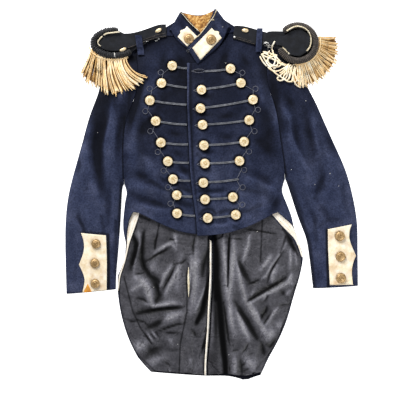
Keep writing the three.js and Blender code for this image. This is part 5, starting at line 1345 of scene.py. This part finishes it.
# each row is where a cord ends and where its head is sewn; "count" is half the cords of the lowest
# layer and "shares" how many of that each layer has; "deep" is how many of the lower ones are painted
# dark brown, as painted shade between the upper cords; "bend" is how far a cord bows aside and
# "tones" the shares of tan and pale ones, by the way round
fringePlans = {
    "right": {
        "node": "epaulette_fringe_right", "seed": 12,
        "rows": [(-341, 312, -316, 379), (-334, 301, -312, 371), (-321, 288, -306, 362),
                 (-309, 281, -300, 357), (-296, 276, -294, 353), (-278, 263, -284, 349.5),
                 (-262, 257, -275, 347), (-246, 256, -265, 345.5), (-230, 259, -255, 345),
                 (-214, 264, -246, 345), (-198, 272, -238, 346.5), (-184, 282, -230, 348),
                 (-172, 291, -223, 350.5), (-163, 301, -216, 353)],
        "count": 33, "shares": (1.0, 0.5, 0.5 * 1.75), "deep": 0.95,
        "bend": lambda part: 2.0 - 17.0 * part ** 1.5,
        "tones": lambda part: (0.16 - 0.1 * part, 0.04 + 0.2 * part),
    },
    "left": {
        "node": "epaulette_fringe_left", "seed": 23,
        "rows": [(323, 409, 279, 409), (329, 393, 281, 399), (330, 376, 281, 389), (328, 360, 280, 379),
                 (324, 343, 277, 370), (316, 329, 272, 361), (305, 316, 266, 353), (296, 306, 260, 347),
                 (287, 298, 253, 342), (272, 287, 245, 338), (256, 279, 237, 335.5),
                 (240, 277, 229, 334), (224, 277, 221, 333), (214, 281, 215, 333.5)],
        "count": 39, "shares": (1.0, 0.5, 0.5 * 1.65), "deep": 0.85,
        "bend": lambda part: -1.0 + 2.0 * part,
        "tones": lambda part: (0.30 - 0.30 * part, 0.04 + 0.2 * part ** 2),
    },
}


def spanOf(rows):
    # the fringe's head and end by the part of the way round, both smoothed
    heads = resampled([(row[2], row[3], 0) for row in rows], 1.0)
    ends = resampled([(row[0], row[1], 0) for row in rows], 1.0)

    def span(part):
        part = min(1, max(0, part))
        return [line[round(part * (len(line) - 1))] for line in (heads, ends)]
    return span


def fringeCords(plan, centre, headHeight):
    span = spanOf(plan["rows"])
    for layer, share in enumerate(plan["shares"]):
        random.seed(plan["seed"] + 7 * layer)
        number = 2 * int(share * plan["count"])
        swing = [random.gauss(0, 1) for _ in range(number)]
        for i in range(number):
            part = (i + 0.5 + random.uniform(-0.42, 0.42) * (0.5 if layer == 0 else 1)) / number
            clump = (0.004 if layer == 0 else 1) * (0.010 * swing[i] + 0.017 * swing[(i // 3) * 3])
            if layer == 2:
                # the upper cords cling together in pairs, with dark gaps between
                pair = i // 2
                part = (2 * pair + 1 + 0.35 * swing[2 * pair] + (i % 2 - 0.5) * 0.62) / number
                clump = 0.015 * swing[2 * pair] + 0.004 * swing[i]
            head, end = span(part)[0], span(part + clump)[1]
            head = head + (Vector((*centre, 0)) - head).normalized() * 8.0
            reach = random.uniform(0.9, 1.04) if layer else random.uniform(0.84, 0.92)
            way = head + (Vector((end.x, end.y, 0)) - head) * reach - head
            side = Vector((-way.y, way.x, 0)).normalized()
            bow = plan["bend"](part) + (1.2 * swing[i] if layer < 2 else
                                        1.6 * swing[i - i % 2] + 0.4 * swing[i])
            wave = random.uniform(0.1, 1.0)
            phase = random.uniform(0, 6.28)
            mids = []
            for k in range(7):
                t = k / 6
                sway = bow * 4 * t * (1 - t)
                sway += wave * math.sin(2.2 * math.pi * t + phase) * math.sin(math.pi * min(1, t + 0.1))
                spot = head + way * t + side * sway
                mids.append((spot.x, spot.y, 0))
            line = resampled(mids, 3.2)
            points = []
            for k, p in enumerate(line):
                t = k / (len(line) - 1)
                base = shoulderGround.height(p.x, p.y)
                hung = headHeight * (1 - t) ** 1.6
                stack = (0, 3.4, 5.4)[layer] * (0.4 + 0.6 * math.sin(math.pi * min(1, t + 0.12)))
                lift = max(base + cordHalf + 0.2, hung * (0.6 if layer == 0 else 0.8) if t < 0.5 else base)
                points.append([p.x, p.y, lift + stack + 0.8 * random.random() * cordHalf])
            heights = [p[2] for p in points]
            for k in range(1, len(line) - 1):
                points[k][2] = (heights[k - 1] + 2 * heights[k] + heights[k + 1]) / 4
            yield part, layer, points


def toneOf(part, layer, plan):
    # deeper layers are painted darker and browner, as the shade among the cords, and the colour
    # drifts round the fringe
    tan, pale = plan["tones"](part)
    deep = plan["deep"]
    shade = random.random()
    if layer == 0:
        return paintedShadeTone if shade < deep else tanTone
    if layer == 1:
        if shade < 0.3 * deep ** 2:
            return paintedShadeTone
        return tanTone if shade < 0.3 + 0.4 * deep + 0.3 * tan else peachTone
    if shade < tan:
        return tanTone
    return paleTone if shade < tan + pale else peachTone


for side, plan in fringePlans.items():
    random.seed(plan["seed"])
    epaulette = epaulettes[side]
    plan["lines"] = []
    for part, layer, points in fringeCords(plan, epaulette["centre"], epaulette["rollHeight"] + 1.0):
        full = 1.7 if layer == 0 else random.uniform(0.82, 1.0)
        sizes = [full] * len(points)
        sizes[-1] *= 0.75
        # no cord sinks into what the coat lies on
        points = [(x, y, max(z, 1.65 * full)) for x, y, z in points]
        plan["lines"].append((points, toneOf(part, layer, plan), sizes))

# the pale cords at the wearer's left are looped back on themselves and tangled
tangle = [
    [(236, 372), (231, 350), (218, 338), (196, 334), (172, 344), (150, 352), (136, 358), (134, 364),
     (142, 363), (160, 350), (184, 338)],
    [(163, 396), (157, 382), (159, 371), (164, 352), (176, 338), (190, 332)],
    [(128, 363), (140, 345), (152, 326), (166, 312), (182, 300), (196, 292), (206, 293), (210, 303),
     (204, 322), (200, 334)],
    [(133, 369), (150, 366), (166, 358), (172, 344), (168, 330), (160, 322)],
    [(124, 357), (134, 342), (146, 328), (158, 320), (172, 318), (190, 328), (202, 334)],
    [(166, 350), (160, 336), (152, 330), (144, 334), (142, 344), (150, 354), (164, 356), (180, 342)],
    [(210, 334), (206, 314), (200, 298), (192, 294), (186, 300), (188, 316), (196, 332)],
    [(216, 332), (212, 310), (214, 292), (222, 281), (230, 276)],
    [(220, 333), (216, 312), (222, 294), (232, 292), (236, 300), (230, 306), (222, 300), (218, 290)],
    [(184, 340), (174, 330), (158, 328), (148, 336), (146, 350), (156, 362), (170, 360)],
    [(196, 336), (190, 320), (180, 308), (170, 300), (176, 294), (190, 300), (198, 316), (202, 332)],
    [(150, 372), (144, 360), (146, 344), (156, 334), (172, 332)],
    [(214, 336), (212, 318), (209, 300), (206, 290)], [(209, 336), (204, 318), (200, 304), (198, 296)],
    [(204, 337), (197, 322), (190, 310), (186, 304)], [(219, 335), (219, 315), (217, 296), (214, 284)],
    [(199, 338), (190, 325), (181, 316), (175, 312)], [(201, 339), (196, 330), (193, 318), (194, 306)],
]
random.seed(77)
for i, line in enumerate(tangle):
    path = resampled([(x + random.uniform(-1, 1), y + random.uniform(-1, 1), 0) for x, y in line], 2.8)
    ground = boardTop if i == 1 else shoulderGround  # only the second one climbs onto the pad
    points = [(p.x, p.y, ground.height(p.x, p.y) + 2.4 + 1.3 * (i % 3) + 0.7 * math.sin(k * 0.5 + i))
              for k, p in enumerate(path)]
    sizes = [1.6] * len(points)
    sizes[0] = sizes[-1] = 1.0
    fringePlans["left"]["lines"].append((points, paleTone, sizes))

# two cords sewn along the foot of each roll, which the fringe hangs from
fringeCord = cordProfile("fringe_profile", radius=1.4, plies=2, depth=0.16, sides=7)
for side, plan in fringePlans.items():
    for k in range(2):
        path = resampled([(row[2], row[3] + 0.5 + 2.2 * k, 0) for row in plan["rows"]], 2.4)
        height = epaulettes[side]["rollHeight"] - 1.0 + 2.0 * k
        plan["lines"].append(([(p.x, p.y, height) for p in path], peachTone, None))
    piece = cordsMesh("fringe_" + side, plan["lines"], fringeCord, 11.0)
    tones = [face.material_index for face in piece.data.polygons]
    finishPiece(piece, fringeSkins, "fringe_cord", [plan["node"]])
    for face, tone in zip(piece.data.polygons, tones):
        face.material_index = tone
    print("fringe", side, sum(len(face.vertices) - 2 for face in piece.data.polygons))

# torn threads of the ruched roll, and white tacking stitches and tufts; a thread is its place, its
# direction in radians and its length
torn = [(-244, 433, 1.2, 9), (-238, 432, 0.6, 10), (-250, 434, 1.9, 7), (-234, 429, 0.2, 9),
        (-260, 433, 2.4, 8), (-275, 429, 2.6, 8), (-287, 424, 2.5, 7), (-241, 432, 0.9, 8),
        (-247, 433, 1.5, 8), (-254, 434, 2.1, 7), (-232, 427, -0.2, 8), (-300, 414, 2.9, 6)]
threads = cordProfile("thread_profile", radius=0.4, plies=1, depth=0.0, sides=5)
height = epaulettes["right"]["rollHeight"] + 3
random.seed(5)
loose = []
for x, y, angle, length in torn:
    bend = random.uniform(-0.5, 0.5)
    line = [(x + length * t * math.cos(angle + bend * t), y + length * t * math.sin(angle + bend * t),
             height + 3 * math.sin(2.5 * t)) for t in (0, 0.25, 0.5, 0.75, 1)]
    loose.append((line, 0, [1.2, 1, 0.9, 0.8, 0.5]))
piece = cordsMesh("torn_threads", loose, threads, 5)
finishPiece(piece, ribbedCord, "black_cord_cloth")

tack = [(-251.5, 368), (-250.4, 362), (-249.6, 356), (-248.6, 351)]
tufts = [[(136, 393), (141, 394), (147, 391)], [(137, 391), (142, 392.5), (148, 390)],
         [(134, 390), (140, 391), (146, 392)], [(138, 386), (146, 385), (154, 381)],
         [(139, 384.5), (147, 383), (156, 380)], [(141, 387), (149, 386), (157, 384)]]
whites = [[(x, y, boardTop.height(x, y) + 0.8) for x, y in tack],
          [(x + 1.0, y, boardTop.height(x, y) + 0.9) for x, y in tack]]
whites += [[(x, y, boardTop.height(x, y) + 2.4) for x, y in tuft] for tuft in tufts]
piece = cordsMesh("white_stitches", [(line, 0, [2.4] * len(line)) for line in whites], threads, 5)
finishPiece(piece, whiteThread, "cream_wool")
print("epaulettes")

# braid: on each breast bars of two twisted cords, from the points given to the outer buttons, and
# a thin cord from button to button with a small loop in it at each of the points given; "moved" is
# a bar that ends elsewhere, and runs on past that place
breasts = {
    "right": {
        "node": "braid_right", "moved": {},
        "bars": [(-64, 326.6), (-64.2, 275.9), (-65, 231.1), (-63.9, 179.7), (-60.8, 128.7),
                 (-58.8, 81.4), (-55.2, 34.8), (-50.4, -5.5), (-43.1, -55.6)],
        "loops": [(-131.3, 315.4), (-159.6, 272.7), (-170.8, 214.5), (-157.8, 163), (-138.6, 109.5),
                  (-123.5, 61.6), (-112.3, 18.5), (-106.1, -23.7)],
    },
    "left": {
        "node": "braid_left", "moved": {7: (64.2, 38.5)},
        "bars": [(-18, 318.5), (-14, 272), (-17, 223), (-11, 180), (-8, 127), (-5, 80), (-9, 31.5),
                 (-5, -11.6), (2, -59.5)],
        "loops": [(79.8, 314.6), (113.1, 272.5), (119.3, 218.4), (110.5, 163), (96.5, 110.5),
                  (84, 63.4), (80.3, 18.5), (79.6, -26.3)],
    },
}


barCord = cordProfile("bar_profile", radius=1.5, plies=2, depth=0.14, sides=8)
thinCord = cordProfile("thin_profile", radius=0.8, plies=2, depth=0.2, sides=7)
barHalf = 1.35  # from a bar's middle to the middle of each of its two cords
loopRadius = 6.8
random.seed(19)
for side, breast in breasts.items():
    places = buttonPlaces(side)
    places.update(breast["moved"])
    bars = []
    for row, (x, y) in enumerate(breast["bars"], 1):
        endX, endY = places[row]
        sagging = [(x, y), ((x + endX) / 2, (y + endY) / 2 - 1.5), (endX, endY)]
        along = Vector((endX - x, endY - y, 0)).normalized()
        aside = Vector((-along.y, along.x, 0))
        for hand in (-barHalf, barHalf):
            shifted = [(px + aside.x * hand, py + aside.y * hand) for px, py in sagging]
            if row in breast["moved"]:
                shifted.append((endX + 6 * along.x, endY + 6 * along.y))
            bars.append(laidLine(shifted, frontGround, 1.4, 2.0))
    thin = []
    for row, place in enumerate(breast["loops"], 1):
        start, end, centre = Vector(places[row]), Vector(places[row + 1]), Vector(place)
        way = (end - start).normalized()
        inward = (start + way * (centre - start).dot(way) - centre).normalized()
        first = math.atan2(inward.y, inward.x)
        turn = -1 if way.cross(inward) > 0 else 1
        path = [tuple(start)]
        for k in range(17):
            angle = first + turn * 2 * math.pi * k / 16
            path.append((centre.x + loopRadius * math.cos(angle), centre.y + loopRadius * math.sin(angle)))
        path.append(tuple(end))
        line = laidLine(path, frontGround, 0.95, 1.4)
        for k, spot in enumerate(line):
            # lifted where it crosses over its own loop
            spot.z += 1.1 * math.exp(-((k - 0.82 * len(line)) / 3.0) ** 2)
        thin.append(line)
    piece = cordsMesh("braid_bars_" + side, evenCords(bars), barCord, 6.5)
    finishPiece(piece, braidYarn, "dull_braid", [breast["node"]])
    piece = cordsMesh("braid_cord_" + side, evenCords(thin), thinCord, 5.0)
    finishPiece(piece, thinYarn, "dull_braid", [breast["node"]])
    print("braid", side)

# pointed loops of thin cord that go over the middle buttons, the top one open; each is its place,
# how far its tip reaches and half its width
eyes = [(-27, 319.4, 25, 4.6)]
eyes += [(x, y - 1.5, 20.5, 4.4) for row, (x, y) in sorted(buttonPlaces("middle").items())]
eyeLines = []
slits = []
for x, y, tip, half in eyes:
    for hand in (-1, 1):
        path = [(x + 10, y + hand * 1.0), (x + 2, y + hand * half * 0.85), (x - 8, y + hand * half),
                (x - 0.78 * tip, y + hand * half * 0.45), (x - tip, y - 0.8)]
        eyeLines.append(laidLine(path, frontGround, 0.85, 1.4))
    slits.append(laidLine([(x + 4, y), (x - 6, y), (x - tip + 3.5, y - 0.3)], frontGround, 1.0, 2.0, 0.6))
piece = cordsMesh("button_eyes", evenCords(eyeLines), thinCord, 5.0)
finishPiece(piece, thinYarn, "dull_braid")
piece = cordsMesh("eye_slits", evenCords(slits), thinCord, 9.0)
finishPiece(piece, ribbedCord, "black_cord_cloth")
print("eyes")


def spunButton(name, place, radius, height, rows, tilt, sides=28):
    # a profile of reach and rise spun about the button's axis, then tilted a little on its thread
    bm = bmesh.new()
    line = [bm.verts.new((radius * reach, 0, height * rise)) for reach, rise in rows]
    edges = [bm.edges.new((a, b)) for a, b in zip(line, line[1:])]
    bmesh.ops.spin(bm, geom=line + edges, cent=(0, 0, 0), axis=(0, 0, 1), angle=2 * math.pi,
                   steps=sides, use_merge=True)
    bmesh.ops.remove_doubles(bm, verts=bm.verts, dist=0.002)
    bmesh.ops.recalc_face_normals(bm, faces=bm.faces)
    turn = Matrix.Rotation(tilt[0], 4, "X") @ Matrix.Rotation(tilt[1], 4, "Y")
    bmesh.ops.transform(bm, matrix=Matrix.Translation(place) @ turn, verts=bm.verts)
    bmesh.ops.scale(bm, vec=(mm, mm, mm), verts=bm.verts)
    return meshFrom(bm, name, turnOut=False)


buttonKinds = {
    # gilt: a rolled rim, a groove, a low dome with a raised ring about its crown
    "gilt": {
        "named": ("button_",),
        "rows": [(0.0, 0.02), (0.82, 0.0), (0.96, 0.12), (1.0, 0.34), (0.985, 0.52), (0.945, 0.62),
                 (0.90, 0.63), (0.865, 0.56), (0.835, 0.56), (0.78, 0.60), (0.68, 0.64), (0.62, 0.69),
                 (0.58, 0.72), (0.53, 0.69), (0.46, 0.70), (0.30, 0.74), (0.14, 0.76), (0.0, 0.765)],
        "skin": gilt, "slot": "gilt_brass",
    },
    # brass: a plain rim, a sunk ring and a boss in the middle
    "brass": {
        "named": ("cuff_button_", "collar_button_"),
        "rows": [(0.0, 0.02), (0.82, 0.0), (0.96, 0.12), (1.0, 0.30), (0.97, 0.50), (0.90, 0.58),
                 (0.83, 0.52), (0.78, 0.50), (0.70, 0.66), (0.58, 0.80), (0.50, 0.84), (0.44, 0.80),
                 (0.38, 0.82), (0.30, 0.93), (0.18, 1.0), (0.0, 1.02)],
        "skin": brass, "slot": "antique_brass",
    },
}
widened = 1.08  # the collar's and the left cuff's are a little wider than their nodes
random.seed(8)
for plan in buttonKinds.values():
    for name in (name for name in sorted(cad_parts) if name.startswith(plan["named"])):
        lowest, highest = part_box(name)
        x, y = boxMiddle((lowest, highest))
        foot, height = lowest.z / mm, (highest.z - lowest.z) / mm
        radius = (highest.x - lowest.x) / 2 / mm
        radius *= widened if "collar" in name or "cuff_button_left" in name else 1.0
        tilt = (random.uniform(-0.05, 0.05), random.uniform(-0.05, 0.05))
        piece = spunButton(name + "_spun", Vector((x, y, foot)), radius, height, plan["rows"], tilt)
        # dirt lies in the grooves and about the crown; the button is also darker round its foot and
        # at its outer rim
        spots = spotsOf(piece)
        reach = np.hypot(spots[:, 0] - x, spots[:, 1] - y) / radius
        groove = np.exp(-((reach - 0.83) / 0.05) ** 2) + 0.5 * np.exp(-((reach - 0.50) / 0.05) ** 2)
        under = spots[:, 2] < foot + 0.25 * height
        centre = np.exp(-(reach / 0.5) ** 4)
        rim = np.clip((reach - 0.955) / 0.03, 0, 1)
        grimeAndDarkening = 0.12 * groove + 0.25 * under + 0.14 * centre + 0.3 * rim - 0.07
        setNumbers(piece, "hollow", np.clip(grimeAndDarkening, -0.1, 0.6))
        finishPiece(piece, plan["skin"], plan["slot"], [name])
print("buttons")

# cream cord along the edges of the collar's opening, with a small knot on it
collarGround = Ground([collar["piece"], lining["piece"]])
collarLines = [
    [(-80.4, 472), (-71, 462.4), (-62, 451), (-53.3, 441.6), (-44.3, 433.1), (-36.3, 426.1), (-30, 420.4)],
    [(14.3, 479), (11, 472), (7.2, 463.5), (2.5, 456), (-4, 447.5), (-11, 438), (-18.5, 428), (-26, 418.5),
     (-31, 412.5), (-37, 406.8)],
    [(-2.5, 449), (0.5, 452.2), (4, 453.2), (7, 451.8), (4.5, 450.2), (1, 451)],
]
rimCord = cordProfile("rim_profile", radius=1.32, plies=2, depth=0.1, sides=7)
rimRuns = [laidLine(line, collarGround, 0.9) for line in collarLines]
piece = cordsMesh("collar_rim", evenCords(rimRuns), rimCord, 5)
finishPiece(piece, pipingCord, "cream_wool")

# the wire hook at the neck: an eye and its shank
ring = [(-61.1 + 2.9 * math.cos(k * math.pi / 8), 371.6 + 2.9 * math.sin(k * math.pi / 8))
        for k in range(17)]
shank = [(-58.6, 373.5), (-55, 377), (-51, 381)]
hookGround = Ground([collar["piece"]] + piecesOf(fronts))
hookRuns = [laidLine(line, hookGround, 0.7, 1.0) for line in (ring, shank)]
piece = cordsMesh("collar_hook", evenCords(hookRuns), threads, 8)
finishPiece(piece, tinned, "antique_brass")

# small things: the orange patch on one cuff, a slit in the right tail's lining, lint
cuff = facings["cuff_flap_right"]["piece"]
outline = [(-319.3, -229.8), (-331.5, -253.5), (-309.4, -252)]
piece = laidPlate("cuff_mend", outline, Ground([cuff]), 0.45, 0.15)
spots = spotsOf(piece)
middleStain = np.exp(-(np.hypot(spots[:, 0] + 322, spots[:, 1] + 246) / 4) ** 2)
setNumbers(piece, "stain", np.clip(0.2 + 0.6 * unevenness(spots, 8, 3.0) + 0.5 * middleStain, 0, 0.9))
finishPiece(piece, rust, "cream_wool")

slit = laidLine([(-59.3, -188), (-59.8, -210), (-59.2, -238), (-59.6, -266)], Ground(piecesOf(tails)),
                0.8, 2.0, 0.4)
opening = [0.4 + 1.9 * math.sin(math.pi * k / (len(slit) - 1)) ** 1.3 for k in range(len(slit))]
piece = cordsMesh("lining_slit", [(slit, 0, opening)], rimCord, 30)
finishPiece(piece, pipingCord, "cream_wool")

# two rows of small stitches down each cream strip of the tails
stitchRows = [
    [(-196.5, -44), (-198, -50), (-209, -66.5), (-213.8, -91), (-217, -112)],
    [(-192, -46), (-192, -52), (-199.5, -69), (-205.8, -91), (-212.4, -112)],
    [(161.5, -43), (167.5, -49.5), (183.3, -63), (198, -77), (208.2, -89)],
    [(156.5, -45), (162, -51.5), (176.5, -67), (190.8, -82), (203.6, -94)],
]
stripGround = Ground([strips["tail_edge_right"]["piece"], strips["tail_edge_left"]["piece"]])
stitches = []
for row in stitchRows:
    run = laidLine(row, stripGround, 0.45, 0.9, 0.2)
    for k in range(0, len(run) - 3, 4):
        stitches.append((run[k:k + 3], 0, [1.0, 1.4, 1.0]))
piece = cordsMesh("strip_stitches", stitches, threads, 9)
finishPiece(piece, fringeTan, "cream_wool")

everywhere = Ground([piece for piece in scene.objects if piece.type == "MESH" and not piece.hide_render
                     and piece.name.startswith(("coat_", "tail"))])
linted = [(244.1, 242.3), (206.2, 65), (265.7, 25.5), (305.5, 53.3), (328.6, 21.6), (36.9, 339.8),
          (44.7, -415.7), (28.6, 433.4), (118, -96), (60, -148), (-150, -240), (-88, -388), (-294, 160)]
random.seed(3)
lint = []
for x, y in linted:
    angle = random.uniform(0, 6.28)
    length = random.uniform(1.6, 3.4)
    line = [(x + length * t * math.cos(angle + 2 * t), y + length * t * math.sin(angle + 2 * t))
            for t in (-0.5, -0.2, 0.1, 0.5)]
    lint.append(([(px, py, everywhere.height(px, py) + 0.5) for px, py in line], 0, [1.0, 1.5, 1.4, 0.8]))
piece = cordsMesh("lint", lint, threads, 9)
finishPiece(piece, whiteThread, "cream_wool")
print("small things")

for profile in profiles:
    bpy.data.objects.remove(profile)
print("done")
